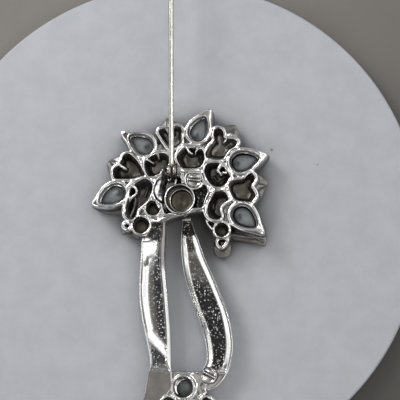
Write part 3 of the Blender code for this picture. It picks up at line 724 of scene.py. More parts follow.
RINGS = [
    ("ring_a", -5.1, -1.7, 1.55, 5.2),
    ("ring_b", -7.4, -4.95, 1.7, 5.0),
    ("ring_c", 8.0, -6.0, 1.45, 4.9),
]
RECESS = [(-4.2, 4.2), (-5.0, 2.7), (-5.2, 1.2), (-4.6, -0.2), (-3.7, -1.0), (-3.4, -2.2), (-3, -3),
          (-1.8, -3), (-0.3, -2.7), (1.4, -2.2), (3.5, -2), (4.6, -1.7), (5, -0.1), (5.6, 1.6), (4.7, 3.5),
          (4, 5.1), (2, 5.3), (0.6, 5.4), (-0.4, 5.7), (-2, 5.2)]
WEB = [(-12, 3), (-11, 7), (-7.5, 10), (-2.5, 11.5), (3, 12), (8.5, 11), (12, 7.5), (13, 2), (11, -3.5),
       (8.3, -6), (5.6, -3.6), (3.4, -2.4), (0.5, -2.7), (-3, -3.3), (-5.2, -3.5), (-8, -5.5), (-10.4, -4.5),
       (-11.5, 0)]
# how far a hollow's floor lies to one side of its opening
LEANS = {"petal_4": (0.55, 0.0), "petal_5": (0.45, -0.1), "petal_1": (0.2, -0.2), "leaf_4": (-0.3, 0.0),
         "petal_2": (0.0, -0.25)}
# front plates that stand out under the cells, with the height of their backs
FLANGES = [
    ([(9.5, -6.3), (10.6, -5.9), (12.1, -6.1), (13.9, -6.1), (16.2, -6.9), (16.1, -8.8), (14.3, -8.3),
      (12.1, -7.85), (10.1, -7.5)], 2.1),
    ([(-17.2, -0.9), (-15.2, -0.9), (-13.4, -1.1), (-11.6, -1.5), (-11.4, -2.4), (-12.8, -2.4), (-14.5, -2.2),
      (-16.2, -1.7)], 1.9),
    ([(-11.7, -4.2), (-11.3, -5.6), (-10.4, -6.7), (-9.0, -7.2), (-7.6, -7.2), (-8.0, -6.2), (-10.0, -5.4),
      (-10.8, -4.2)], 2.2),
    ([(6.5, -8.6), (6.6, -10.2), (7.6, -11.0), (8.9, -10.9), (9.5, -9.8), (9.4, -8.4), (8.0, -8.2)], 2.3),
]
# broad ridges on the flower's back: half width at the start and at the end, then points with their height
SHOULDERS = [
    (0.62, 0.2, [(-6.3, -3.15, 4.5), (-5.4, -3.75, 4.7), (-4.2, -3.95, 4.85), (-2.9, -3.7, 5.0),
                 (-1.4, -3.25, 5.15), (0.6, -2.85, 5.2), (2.4, -2.5, 5.25), (4.3, -2.4, 5.3)]),
    (0.2, 0.2, [(4.9, -3.3, 5.2), (5.2, -4.6, 4.9), (5.9, -5.6, 4.7), (6.7, -6.6, 4.6)]),
    (0.3, 0.3, [(9.5, -6.2, 4.4), (9.35, -7.2, 4.5), (8.9, -8.3, 4.5)]),
    (0.9, 0.15, [(14.2, 2.4, 3.4), (15.2, 2.6, 3.0), (16.3, 2.85, 2.4)]),
    (0.7, 0.15, [(9.3, 12.2, 3.4), (9.9, 13.2, 3.0), (10.4, 14.0, 2.4)]),
    (0.7, 0.15, [(-12.3, 6.9, 3.4), (-13.1, 7.5, 3.0), (-13.9, 8.0, 2.4)]),
    (0.6, 0.15, [(-2.2, 14.2, 3.4), (-2.45, 15.3, 3.0), (-2.65, 16.3, 2.4)]),
    (0.45, 0.3, [(9.6, -6.6, 2.5), (12.2, -7.0, 2.6), (14.2, -7.2, 2.6), (15.9, -8.0, 2.4)]),
]
# slope along the left of the recess: y, left edge x and height, right edge x and height
RECESS_SLOPE = [(4.3, -4.6, 5.15, -2.6, 3.1), (2.7, -5.2, 5.2, -2.9, 3.0), (1.1, -5.4, 5.2, -3.0, 2.9),
                (-0.3, -4.8, 5.1, -3.0, 2.9), (-1.6, -4.1, 4.9, -2.9, 2.9), (-2.7, -3.7, 4.7, -2.4, 2.9)]
# thin ridges inside the hollows: half width, then points with their height
INNER_RIDGES = [
    (0.24, [(-9.9, 3.1, 5.3), (-9.1, 2.65, 5.25), (-8.5, 2.2, 5.2), (-8.3, 1.6, 5.1), (-8.6, 1.0, 5.0),
            (-9.2, 0.5, 4.9), (-9.7, -0.1, 4.7), (-9.95, -1.0, 4.2)]),
    (0.26, [(-12.4, 7.4, 5.0), (-11.7, 6.85, 5.0), (-11.0, 6.35, 4.9), (-10.3, 6.0, 4.4)]),
    (0.22, [(-6.8, 7.8, 5.3), (-5.9, 7.5, 5.15), (-5.0, 7.0, 4.7)]),
    (0.2, [(-4.5, 9.2, 5.3), (-4.15, 8.5, 5.0), (-4.1, 7.7, 4.5)]),
    (0.22, [(-2.9, 14.2, 5.1), (-2.6, 13.6, 5.0), (-2.3, 12.9, 4.5)]),
    (0.23, [(0.9, 10.4, 5.4), (1.25, 9.9, 5.3), (1.75, 9.15, 5.2), (2.5, 8.7, 4.8)]),
    (0.19, [(4.1, 9.9, 5.4), (3.5, 9.6, 5.2), (3.05, 9.15, 5.0), (2.95, 8.6, 4.6)]),
    (0.22, [(-1.75, 14.2, 5.1), (-1.5, 13.5, 4.9), (-1.3, 12.8, 4.4)]),
    (0.22, [(9.8, 12.5, 5.1), (9.0, 11.6, 5.0), (8.3, 10.8, 4.6)]),
    (0.36, [(9.2, 12.35, 5.0), (10.0, 12.2, 5.05), (11.0, 11.8, 5.0)]),
    (0.26, [(8.1, 7.1, 5.3), (7.6, 6.1, 5.25), (7.3, 5.45, 5.15), (7.7, 4.9, 4.95), (8.15, 4.55, 4.5)]),
    (0.2, [(8.1, 5.2, 4.7), (8.7, 5.0, 4.95), (9.4, 5.2, 5.1)]),
    (0.16, [(6.3, 4.7, 3.3), (7.1, 3.6, 3.3), (8.0, 4.1, 3.5)]),
    (0.3, [(12.05, 3.9, 4.9), (12.2, 4.5, 5.1), (12.7, 5.3, 5.1)]),
    (0.16, [(3.5, 8.7, 3.5), (3.75, 7.4, 3.3)]),
    (0.22, [(-8.6, 0.6, 4.2), (-8.7, -0.7, 4.2), (-9.0, -1.9, 4.1), (-9.5, -3.1, 4.4)]),
    (0.18, [(-6.6, 3.2, 3.4), (-6.5, 1.9, 3.3), (-7.0, 0.8, 3.2)]),
    (0.18, [(6.6, 0.9, 3.6), (6.3, -0.4, 3.4), (6.4, -1.9, 3.3)]),
]
# the thin ridges are drawn this much wider than their table says
RIDGE_WIDTH = 1.15
# each cell stands this much higher than the one before, so that no two walls share a face
STAGGER = 0.013


def wall_rings(loop, crest, low, tip=None, spread=0.85, dome=0.75, pointed=False):
    """Outside of a cell: domed front, thin flange, steep side. A pointed cell's crest runs out to the tip."""
    foot = reach(grow(loop, spread), tip, 12.0 if pointed else 8.0)
    away = tip and centre_of(loop).lerp(Vector(tip), 0.93) if pointed else None
    side = reach(grow(loop, 0.45), away, 16.0)
    high = reach(grow(loop, 0.36), away, 18.0)
    front = taper(foot, (0.2, low - dome), (0.6, low - dome * 0.85), (0.9, low - dome * 0.4),
                  (1, low), (1, low + 0.4))
    return front + [(between(foot, side, 0.3), low + 0.6), (side, low + 0.8),
                    (between(side, high, 0.5), crest - 1.1), (high, crest - 0.4),
                    (between(high, grow(loop, 0.28), 0.4), crest - 0.14), (grow(loop, 0.12), crest)]


def hollow_rings(loop, crest, floor, inner, lean):
    """Inside of a cell, down to its closed floor, which may lie to one side."""
    rings = taper(loop, (inner * 0.5, floor - 0.05), (inner * 0.85, floor + 0.1), (inner, floor + 0.5))
    rings += rise(loop, (-0.5, crest - 0.9), (-0.3, crest - 0.3))
    shares = (1.0, 1.0, 0.9, 0.5, 0.25)
    leaning = [([p + Vector(lean) * share for p in ring], z) for (ring, z), share in zip(rings, shares)]
    return leaning + rise(loop, (-0.12, crest), (-0.05, crest + 0.6))


def stone_centre(mid, heading):
    turn = math.radians(heading)
    return (mid[0] + 0.35 * math.cos(turn), mid[1] + 0.35 * math.sin(turn))


def swept(name, points, radius, foot, last=None):
    """Upright ridge along points that carry their own height; its half width may run to another at the end."""
    path = spline_path(points, 6)
    final = len(path) - 1
    rings = []
    for i, p in enumerate(path):
        ahead = path[min(i + 1, final)] - path[max(i - 1, 0)]
        side = Vector((-ahead.y, ahead.x, 0)).normalized()
        share = 0.6 if i in (0, final) else 1.0
        wide = (radius + ((radius if last is None else last) - radius) * i / final) * share
        section = ((-1.5, foot), (-1.1, p.z - 0.5), (-0.7, p.z - 0.12), (0.0, p.z), (0.7, p.z - 0.12),
                   (1.1, p.z - 0.5), (1.5, foot))
        rings.append([(p + side * (wide * x)).xy[:] + (z,) for x, z in section])
    return skin(name, rings)


def wedge(name, stations, foot, curve=0.52):
    """Hollow-backed slope between two edges: y, left x and height, right x and height."""
    return skin(name, [[(left, y, foot), (right, y, foot)]
                       + [(right + (left - right) * k / 8, y,
                           low + (high - low) * (k / 8) ** curve) for k in range(9)]
                       for y, left, high, right, low in stations])


def claw(x, y, radius, low, high):
    """Small rounded claw that holds a stone from the front."""
    return turned("claw", [(max(radius * math.sin(a), radius * 0.12),
                            (low + high) / 2 - math.cos(a) * (high - low) / 2) for a in half_turn(8)], x, y, 14)


def claws(x, y, away, angles, radius, low, high):
    """Claws round a round stone."""
    return [claw(x + away * math.cos(a), y + away * math.sin(a), radius, low, high) for a in angles]


# ---------------------------------------------------------------- operators
class DRESSPIN_OT_flower(bpy.types.Operator):
    """Casts the flower with its cells, petals, leaves and middle recess"""
    bl_idname = "dresspin.flower"
    bl_label = "Flower casting"

    def execute(self, context):
        sizes = context.scene.dresspin_castings
        stones = context.scene.dresspin_stones
        top = sizes.crest
        web = spline_loop(WEB, 4)
        walls = [stack("web", taper(web, (0.96, 1.35), (1, 1.7), (1, 3.1), (0.97, 3.6), (0.93, 3.8)))]
        for points, back in FLANGES:
            plate = spline_loop(points, 4)
            walls.append(stack("flange", taper(plate, (0.9, 0.85), (1, 1.1), (1, back - 0.1), (0.93, back))))
        walls += [swept("shoulder", points, half, 1.9, last) for half, last, points in SHOULDERS]
        cuts, extra, hollows = [], [], []
        step = 0.0
        for name, mid, heading, length, width, tip, point in PEARS:
            step += STAGGER
            loop = drop(*mid, heading, length, width)
            crest = top - 0.1 + step
            walls.append(stack(name, wall_rings(loop, crest, 1.35 + step, tip, 0.6, 0.55, True)))
            cuts.append(stack(name, rise(loop, (-0.5, 2.4), (-0.5, 3.75), (-0.72, 3.9), (-0.72, 4.05),
                                         (-0.5, 4.2), (-0.42, crest - 0.6), (-0.28, crest - 0.15),
                                         (-0.12, crest), (-0.05, crest + 0.6))))
            x, y = stone_centre(mid, heading)
            seat = drop(x, y, heading, stones.length + 0.25, stones.width + 0.25)
            cuts.append(stack(name, rise(seat, (0.12, 0.2), (0, 1.3), (0, 2.5 + step))))
            girdle = drop(x, y, heading, stones.length + 0.4, stones.width + 0.4, 60)
            extra += [claw(girdle[i].x, girdle[i].y, stones.claw, 0.45, 2.4) for i in (0, 11, 24, 36, 49)]
        # name, points, low tip, crest, foot, spread, hollow's floor and its share of the opening, strength of
        # the painted shade in the hollow
        cells = [(name, points, None, top - 0.05, 1.5, 0.6, 2.55, 0.66, 0.94)
                 for name, points in PETALS.items()]
        for name, (points, tip) in LEAVES.items():
            dark = {"leaf_2": 0.96, "leaf_4": 0.96, "leaf_5": 0.6}.get(name, 0.86)
            cells.append((name, points, tip, 4.5 if name == "leaf_5" else 5.1, 1.45, 0.7, 2.3, 0.72, dark))
        for name, points, tip, high, low, spread, floor, inner, dark in cells:
            step += STAGGER
            loop = spline_loop(points, 5)
            walls.append(stack(name, wall_rings(loop, high + step, low + step, tip, spread)))
            cuts.append(stack(name, hollow_rings(loop, high + step, floor, inner, LEANS.get(name, (0.0, 0.0)))))
            hollows.append((loop, high + step, dark))
        for name, x, y, radius, crest in RINGS:
            step += STAGGER
            loop = circle(x, y, radius, 40)
            walls.append(stack(name, wall_rings(loop, crest + step, 1.4 + step, None, 0.45, 0.6)))
            mouth = [(radius - 0.34, 2.2), (radius - 0.3, crest - 0.2), (radius - 0.1, crest + 0.1),
                     (radius, crest + 0.6)]
            cuts.append(turned(name, mouth, x, y, 40))
            cuts.append(turned(name, [(radius - 0.05, 0.2), (radius - 0.05, 2.3 + step)], x, y, 40))
            extra += claws(x, y, radius - 0.05, (0.6, 2.2, 3.8, 5.4), 0.26, 0.5, 1.8)
            # 0.97: strength of the painted shade inside the ring
            hollows.append((loop, crest, 0.97))
        recess = spline_loop(RECESS, 5)
        walls.append(stack("recess", rise(recess, (0.45, 1.75), (0.5, top - 0.7), (0.3, top - 0.12),
                                          (0.14, top + 0.02))))
        bottom = [p + Vector((0.5, 0.0)) for p in grow(recess, -0.9)]
        cuts.append(stack("recess", [(bottom, sizes.floor + 0.02)] + rise(
            recess, (-0.5, top - 0.9), (-0.28, top - 0.2), (-0.1, top + 0.05), (-0.05, top + 0.6))))
        cuts.append(turned("cup_hole", [(3.05, 0.2), (3.05, top + 0.7)], CUP.x, CUP.y))
        extra += [swept("inner ridge", points, RIDGE_WIDTH * half, 2.4) for half, points in INNER_RIDGES]
        extra.append(wedge("recess slope", RECESS_SLOPE, 2.4))
        boss = [(0.3, 3.1), (1.6, 3.15), (1.62, 4.75), (1.68, 4.92), (1.8, 5.0), (1.92, 4.95), (2.02, 4.75),
                (2.06, 4.3), (2.08, 2.6), (0.3, 2.5)]
        extra.append(turned("rivet boss", boss, UPPER_RIVET.x + 0.1, UPPER_RIVET.y + 0.05, 48))
        body = casting("flower_back", walls, cuts, extra, sizes.skin, 3)

        x, y, z = points_of(body).T
        tilt = per_point(body, "normal")[:, 2]
        upward = ramp(tilt, 0.45, 0.85)
        # painted shade (the 'hollow' layer): inside the cells' hollows, with a duller finish meant there too,
        # over the casting's lower parts, on the low front plates, on steep walls below the crests and on the
        # flat web between the cells
        deep = [dark * inside(x, y, grow(loop, 0.05)) * (1 - ramp(z, crest - 1.2, crest - 0.3)) * (z > 2.0)
                for loop, crest, dark in hollows]
        deep += [0.8 * ramp(tilt, -0.3, 0.1) * (1 - ramp(z, 3.0, 4.75)) * (z > 1.2),
                 0.86 * upward * (1 - ramp(z, 2.5, 3.0)) * (z > 0.8),
                 0.45 * (1 - ramp(tilt, 0.5, 0.8)) * (1 - ramp(z, 3.9, 4.5)) * (z > 1.4),
                 0.72 * upward * (1 - ramp(z, 4.0, 4.5)) * (z > 3.0) * (1 - inside(x, y, grow(recess, 0.3)))]
        ground = inside(x, y, recess) * (1 - ramp(z, 3.3, 4.3)) * (z > 2.5) * ramp(x + 0.3 * y, -0.4, 0.6)
        paint(body, hollow=np.maximum.reduce(deep), ground=ground)
        hand_over(body, "flower_casting", "brooch", "bright_plating", plating(context))
        return {"FINISHED"}


class DRESSPIN_OT_cup(bpy.types.Operator):
    """Turns the deep cup in the flower's middle"""
    bl_idname = "dresspin.cup"
    bl_label = "Centre cup"

    def execute(self, context):
        crest = context.scene.dresspin_castings.crest
        profile = [(0.05, 2.3), (2.4, 2.3), (2.45, 1.0), (2.6, 0.92), (2.86, 0.95), (2.92, 1.05),
                   (2.92, crest - 0.2)]
        profile += [(2.79 + 0.13 * math.cos(a), crest - 0.12 + 0.14 * math.sin(a)) for a in half_turn(6)]
        profile += [(2.63, crest - 0.4), (2.6, 4.5), (2.55, 4.15), (2.46, 4.05), (2.36, 4.08)]
        profile += [(2.24 + 0.09 * math.cos(a), 4.2 + 0.1 * math.sin(a)) for a in half_turn(6)]
        profile += [(2.14, 3.9), (2.1, 3.4), (2.04, 3.1), (1.9, 2.97), (1.2, 2.93), (0.28, 2.9), (0.2, 2.84),
                    (0.05, 2.82)]
        obj = smooth(add("centre_cup_body", turned("centre_cup_body", profile, CUP.x, CUP.y, 96)), 50)
        pts = points_of(obj)
        z = pts[:, 2]
        radius = np.hypot(pts[:, 0] - CUP.x, pts[:, 1] - CUP.y)
        # the inner ring sits a little off the cup's middle
        inner = (1 - ramp(radius, 2.36, 2.6)) * ramp(z, 2.5, 2.9)
        pts[:, 0] += 0.28 * inner
        pts[:, 1] -= 0.2 * inner
        move_points(obj, pts)
        # painted shade, with a duller finish: the cup's floor and inner wall turn towards the cup colour
        within = (radius < 2.2) * (z > 2.5) * (z < 4.15)
        wall = (radius > 2.3) * (radius < 2.66) * (z > 3.5) * (1 - ramp(z, crest - 0.45, crest - 0.25))
        paint(obj, hollow=np.maximum(1.0 * within, 0.95 * wall), ground=0.0)
        hand_over(obj, "centre_cup", "brooch", "cup_metal", plating(context, "cup metal", "cup", 0.09))
        return {"FINISHED"}


def set_stone(name, node_name, rings, girdle, rim, foil, point=None):
    """A stone with foil on its back, darker round its point, and cut facets on its front."""
    obj = add(name, stack(name, rings))
    obj.data.shade_smooth()
    for poly in obj.data.polygons:
        back = poly.center.z > girdle * MM
        poly.material_index = 0 if back else 1
        poly.use_smooth = back
    x, y, z = points_of(obj).T
    near_point = 1 - ramp(np.hypot(x - point.x, y - point.y), 0.46, 0.78) if point else 0.0
    paint(obj, culet=near_point * (z > girdle), rimshade=(1 - ramp(z, rim, rim + 0.3)) * (z > girdle))
    hand_over(obj, node_name, "brooch", "foiled_stone", foil, crystal_material())


class DRESSPIN_OT_stones(bpy.types.Operator):
    """Cuts and sets the pear stones and the round stones"""
    bl_idname = "dresspin.stones"
    bl_label = "Stones"

    def execute(self, context):
        sizes = context.scene.dresspin_stones
        colour = context.scene.dresspin_colours.foil[:]
        foil = foil_material("stone foil", dimmed(colour, 0.78))
        low_foil = foil_material("low stone foil", dimmed(colour, 1.45))
        backing = foil_material("stone backing", (colour[0] * 0.85, colour[1] * 0.7, colour[2] * 0.52))
        for i, (_, mid, heading, _, _, _, point) in enumerate(PEARS, 1):
            girdle = drop(*stone_centre(mid, heading), heading, sizes.length, sizes.width, 32)
            back = grow(drop(*mid, heading, sizes.length - 0.1, sizes.width + 0.2, 32), -0.62)
            culet = Vector(point)
            facets = [p if k % 2 else centre_of(girdle).lerp(p, 0.94)
                      for k, p in enumerate(shrink(girdle, 0.82))]
            rings = [(shrink(girdle, 0.56), 0.0), (facets, 0.62), (girdle, sizes.girdle - 0.42),
                     (girdle, sizes.girdle)]
            rings += taper(back, (1, 2.75), (0.985, 3.4), (0.93, 3.58))
            rings += taper(back, (0.7, 3.76), (0.4, 3.92), (0.26, 4.0), (0.16, sizes.culet - 0.26),
                           (0.08, sizes.culet - 0.2), (0.02, sizes.culet - 0.24), centre=culet)
            set_stone("pear_crystal_%d" % i, "pear_stone_%d" % i, rings, sizes.girdle + 0.02, 3.35, foil, culet)
        # packed nodes, height of the front, height of the crown, top of the back
        for names, table, crown, top in ((("round_stone_a", "round_stone_b", "round_stone_c"), 0.2, 0.9, 2.0),
                                         (("centre_stone",), 0.0, 1.1, 2.05),
                                         (("low_stone_1", "low_stone_2", "low_stone_3"), 0.0, 1.0, 2.5)):
            for node_name in names:
                low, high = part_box(node_name)
                mid = middle(node_name)
                ring = circle(mid.x, mid.y, (high.x - low.x) * 0.5 / MM, 32)
                facets = [centre_of(ring).lerp(p, 0.95) if k % 4 else p
                          for k, p in enumerate(shrink(ring, 0.83))]
                girdle = table + crown + 0.3
                rings = [(shrink(ring, 0.56), table), (facets, table + crown * 0.5)]
                rings += taper(ring, (1, table + crown), (1, girdle), (0.8, girdle + (top - girdle) * 0.45),
                               (0.4, top - (top - table - crown) * 0.12), (0.12, top), (0.03, top - 0.03))
                set_stone(node_name + "_crystal", node_name, rings, girdle + 0.02, girdle,
                          low_foil if node_name.startswith("low") else backing)
        return {"FINISHED"}


# ---------------------------------------------------------------- stems
# left edge x and y, right edge x and y, height of the rims, height of the floor
LEFT_STEM = [
    (-5.8, -4.2, -2.8, -4.0, 3.9, 3.2), (-5.9, -5.6, -2.8, -5.6, 3.9, 3.1),
    (-6.5, -6.6, -2.8, -6.9, 3.85, 2.9), (-7.5, -7.3, -2.85, -8.1, 3.8, 2.6),
    (-7.7, -10.5, -2.9, -10.8, 3.9, 2.5), (-7.9, -14, -2.75, -14, 3.9, 2.5),
    (-7.95, -18, -2.35, -18, 3.9, 2.5), (-7.5, -22, -2.0, -22, 3.9, 2.5),
    (-6.75, -25.6, -1.75, -25.6, 3.85, 2.5), (-5.95, -29.5, -1.65, -29.5, 3.8, 2.5),
    (-5.8, -31.6, -1.65, -31.6, 3.75, 2.8), (-6.1, -33.3, -1.6, -33.3, 3.68, 3.4),
    (-6.5, -35.6, -1.6, -35.6, 3.62, 3.5), (-6.9, -37.5, -3.2, -37.6, 3.6, 3.5),
    (-7.5, -39.8, -4.9, -39.8, 3.5, 3.4), (-7.9, -42.2, -5.5, -42.2, 3.2, 3.1),
    (-7.5, -44.1, -6.4, -44.1, 2.9, 2.8),
]
RIGHT_STEM = [
    (0.3, -3.65, 2.0, -3.45, 3.5, 2.7), (0.2, -5.5, 2.7, -5.5, 3.7, 2.5), (0.0, -7.8, 3.7, -7.9, 3.8, 2.4),
    (0.1, -10.6, 4.8, -11, 3.9, 2.4), (0.5, -13.5, 6.3, -14.5, 3.9, 2.4), (1.3, -16.7, 7.7, -18, 3.9, 2.4),
    (2.4, -20, 9, -21.4, 3.9, 2.4), (3.8, -23.7, 9.8, -24.7, 3.9, 2.4), (4.6, -26.8, 10.1, -27.6, 3.8, 2.4),
    (4.9, -29.6, 9.85, -30.2, 3.7, 2.4), (4.7, -31, 9.2, -32.4, 3.3, 2.6), (4.2, -32.1, 7.9, -34.3, 3.0, 2.9),
    (4.1, -33.3, 6.6, -35.5, 3.0, 2.9), (4.4, -34.9, 5.1, -36.0, 2.9, 2.8),
]
# rims of a channel: distance from the edge, drop below the crest as a share of the channel's depth
COVE = [(0.0, 0.62), (0.01, 0.46), (0.04, 0.31), (0.09, 0.18), (0.16, 0.08), (0.23, 0.02), (0.30, 0.0),
        (0.37, 0.02), (0.44, 0.09), (0.49, 0.22), (0.54, 0.38), (0.59, 0.52), (0.68, 0.575), (0.86, 0.645),
        (1.07, 0.72), (1.28, 0.795), (1.49, 0.87), (1.68, 0.93), (1.85, 0.975), (2.0, 0.995)]
BROAD = [(0.0, 0.62), (0.01, 0.46), (0.04, 0.31), (0.09, 0.18), (0.16, 0.08), (0.22, 0.02), (0.28, 0.0),
         (0.34, 0.02), (0.4, 0.1), (0.45, 0.25), (0.5, 0.43), (0.55, 0.56), (0.63, 0.615), (0.82, 0.678),
         (1.02, 0.745), (1.22, 0.81), (1.4, 0.87), (1.52, 0.92), (1.63, 0.965), (1.73, 0.99)]
STEEP = [(0.0, 0.62), (0.01, 0.46), (0.04, 0.3), (0.08, 0.17), (0.13, 0.07), (0.18, 0.02), (0.23, 0.0),
         (0.3, 0.02), (0.4, 0.055), (0.5, 0.09), (0.6, 0.125), (0.7, 0.16), (0.78, 0.2), (0.85, 0.27),
         (0.91, 0.4), (0.97, 0.56), (1.04, 0.74), (1.11, 0.88), (1.19, 0.96), (1.3, 0.99)]
FLOOR_POINTS = 26
STEM_STEPS = 18
# the right stem's left rim is this much narrower than the others
NARROW_RIM = 0.74


def left_fill(u, y):
    """How far the left channel is filled up to its rims, how grainy it is there and how much painted shade it
    gets.
    """
    wide = 0.34 + 0.49 * smoothstep(y, -13.4, -9.0)
    upper = 0.9 * smoothstep(y, -20.0, -15.0) * max(0.0, 1 - u / wide) ** 1.3 * smoothstep(-y, 7.2, 8.2)
    first, last = 22.75 + 5.9 * u, 26.0 + 4.9 * u
    t = (-y - first) / (last - first)
    band = 0.78 * smoothstep(t, -0.35, 1.3)
    flat = smoothstep(-y, 30.3, 34.0)
    root = smoothstep(y, -7.9, -7.3)
    upper_half = 1 - smoothstep(t, -0.15, 0.4)
    bare_floor = (1 - smoothstep(upper, 0.0, 0.2)) * upper_half
    grain = max((0.35 + 0.65 * smoothstep(u, 0.35, 0.62)) * (1 - smoothstep(upper, 0.03, 0.16)) * upper_half,
                root * 1.3, smoothstep(t, 0.95, 1.25))
    shade = max(0.62 * root, 0.8 * smoothstep(-y, 11.0, 14.0) * bare_floor,
                0.8 * smoothstep(u, 0.6, 0.72) * bare_floor,
                0.62 * smoothstep(t, 0.95, 1.35), 0.6 * flat)
    return max(upper, band + 0.22 * smoothstep(-y, 30.0, 33.2)), grain * (1 - flat), shade


def right_fill(u, y):
    """How far the right channel is filled up to its rims, how grainy it is there and how much painted shade it
    gets.
    """
    pocket = smoothstep(-y, 3.6, 4.1) * (1 - smoothstep(-y, 6.8, 7.4))
    slope = 1 - smoothstep(-y, 8.2, 11.0 + 0.8 * u)
    lower = smoothstep(-y, 14.0, 16.5 + 1.5 * u)
    neck = smoothstep(-y, 6.6, 7.4) * (1 - smoothstep(-y, 9.4, 11.0))
    grain = max(pocket * 0.9, 0.55 * neck, 0.4 + 0.6 * lower)
    end = smoothstep(-y, 31.6, 33.0)
    shade = max(pocket, neck, 0.9 * (1 - slope), 0.92 * lower)
    return max(0.12 * slope * (1 - pocket), end), grain * (1 - end), shade * (1 - 0.6 * end)


def channel(name, stations, fill_at, right_side, bare, coves):
    """Channelled bar with rounded rims and a domed front. Its left rim starts below `bare`, which is 0 for the
    right stem; its coves run between two heights."""
    is_left = bare > 0
    rings, masks, shades = [], [], []
    for lx, ly, rx, ry, rim, floor in spline_path(stations, STEM_STEPS):
        left, right = Vector((lx, ly)), Vector((rx, ry))
        width = (right - left).length
        across = (right - left) / width
        flush = smoothstep(-left.y, 30.6, 33.0) if is_left else 0.0
        right_scale = min(1.0, width / 4.3) * (1 - 0.8 * flush)
        left_scale = right_scale * (1.0 if is_left else NARROW_RIM)
        inner_left, inner_right = COVE[-1][0] * left_scale, width - right_side[-1][0] * right_scale
        cove_here = smoothstep(-left.y, coves[0], coves[0] + 0.8)
        cove_here *= 1 - smoothstep(-left.y, coves[1], coves[1] + 1.4)
        ring = []

        def put(d, z, grain=0.0, shade=0.0):
            p = left + across * d
            ring.append((p.x, p.y, z))
            masks.append(grain)
            shades.append(shade)

        def bead(d, share, at, strength, coved):
            """A point of a rim: its depth under the crest, less where the channel is filled up."""
            if d > 0.55 and coved:
                share = 1 - (1 - share) * cove_here
            p = left + across * at
            fill, grain, shade = fill_at(at / width, p.y)
            z = floor + (1 - share) * (rim - floor) * strength
            low = max(smoothstep(share, 0.86, 1.0), 1 - strength)
            # the groove darkening is a painted dark line on the inner slope of a rim, and on the left stem's
            # right rim near the top, painted shade over its crest
            groove_shade = 0.0
            if d > 0.4:
                z = max(z, floor + fill * (rim - 0.03 - floor))
                groove_shade = max(0.75 * smoothstep(share, 0.1, 0.3) * (1 - smoothstep(share, 0.45, 0.56)) - fill,
                             0.0)
            if is_left and at > width / 2:
                groove_shade = max(groove_shade, 0.65 * smoothstep(p.y, -14.0, -12.0) * (1 - smoothstep(share, 0.3, 0.6)))
            put(at, z, min(grain, 1.0) * low, max(shade * low, groove_shade))

        for k in range(13):
            u = 0.05 + 0.9 * k / 12
            put(u * width, 1.18 + 0.42 * abs(2 * u - 1) ** 3)
        put(width - 0.03, 1.95)
        put(width, 2.35)
        for d, share in right_side:
            bead(d, share, width - d * right_scale, 1.0, not is_left)
        for k in range(1, FLOOR_POINTS):
            d = inner_right + (inner_left - inner_right) * k / FLOOR_POINTS
            p = left + across * d
            fill, grain, shade = fill_at(d / width, p.y)
            soft = smoothstep(min(k, FLOOR_POINTS - k) / FLOOR_POINTS, 0.0, 0.12)
            spot = Vector((p.x * 1.9, p.y * 1.9, 3.0))
            rough = noise.noise(spot) * 0.6 + noise.noise(spot * 2.3) * 0.4
            z = max(floor, floor + fill * (rim - 0.03 - floor))
            z += 0.13 * rough * grain * soft + 0.04 * noise.noise(Vector((p.x * 0.5, p.y * 0.5, 9.0)))
            put(d, z, min(grain, 1.0), shade)
        rim_here = smoothstep(-left.y, bare - 0.5, bare + 0.1)
        for d, share in reversed(COVE):
            bead(d, share, d * left_scale, rim_here, True)
        put(0.0, 2.35)
        put(0.03, 1.95)
        rings.append(ring)
    obj = add(name, skin(name, rings))
    # ground marks the grainy floor; the 'hollow' layer holds the channels' painted shade
    paint(obj, ground=masks, hollow=shades)
    return obj


class DRESSPIN_OT_stems(bpy.types.Operator):
    """Shapes the two channelled stems"""
    bl_idname = "dresspin.stems"
    bl_label = "Stems"

    def execute(self, context):
        left = channel("left_stem_bar", LEFT_STEM, left_fill, STEEP, 7.2, (0.0, 25.6))
        right = channel("right_stem_bar", RIGHT_STEM, right_fill, BROAD, 0.0, (6.4, 60.0))
        smooth(right, 60)
        hole = turned("eye", [(1.0, 0.4), (1.0, 5.0)], LOWER_RIVET.x, LOWER_RIVET.y, 48)
        combine(right, "DIFFERENCE", [hole])
        for obj, node_name in ((left, "stem_left"), (right, "stem_right")):
            smooth(obj, 60)
            hand_over(obj, node_name, "brooch", "bright_plating", plating(context))
        return {"FINISHED"}


# ---------------------------------------------------------------- lower cluster
# name, middle, radius of the rim's crest, height of the crest, radius of its stone
LOW_RINGS = [
    ("low_ring_1", 0.65, -35.5, 2.08, 5.0, 2.0),
    ("low_ring_2", -2.1, -38.9, 1.7, 4.8, 1.38),
    ("low_ring_3", 2.2, -40.0, 1.8, 4.8, 1.45),
]
CLUSTER = [(-2.2, -32.75), (-1.2, -32.55), (1.0, -32.55), (3.2, -32.6), (4.4, -32.9), (5.0, -34.4),
           (4.9, -36), (5.5, -37.6), (5.6, -39.6), (3.6, -42), (2.0, -43.4), (0.8, -46), (-1.2, -46.2),
           (-3, -45), (-4, -42.6), (-4, -40.4), (-3.6, -37), (-2.4, -35.8), (-2.3, -34)]
LOW_LEAF = [(3.9, -37.6), (5.2, -37.2), (6.6, -38.2), (7.2, -39.6), (6.8, -40.8), (5.4, -40.7), (4.3, -39.6)]


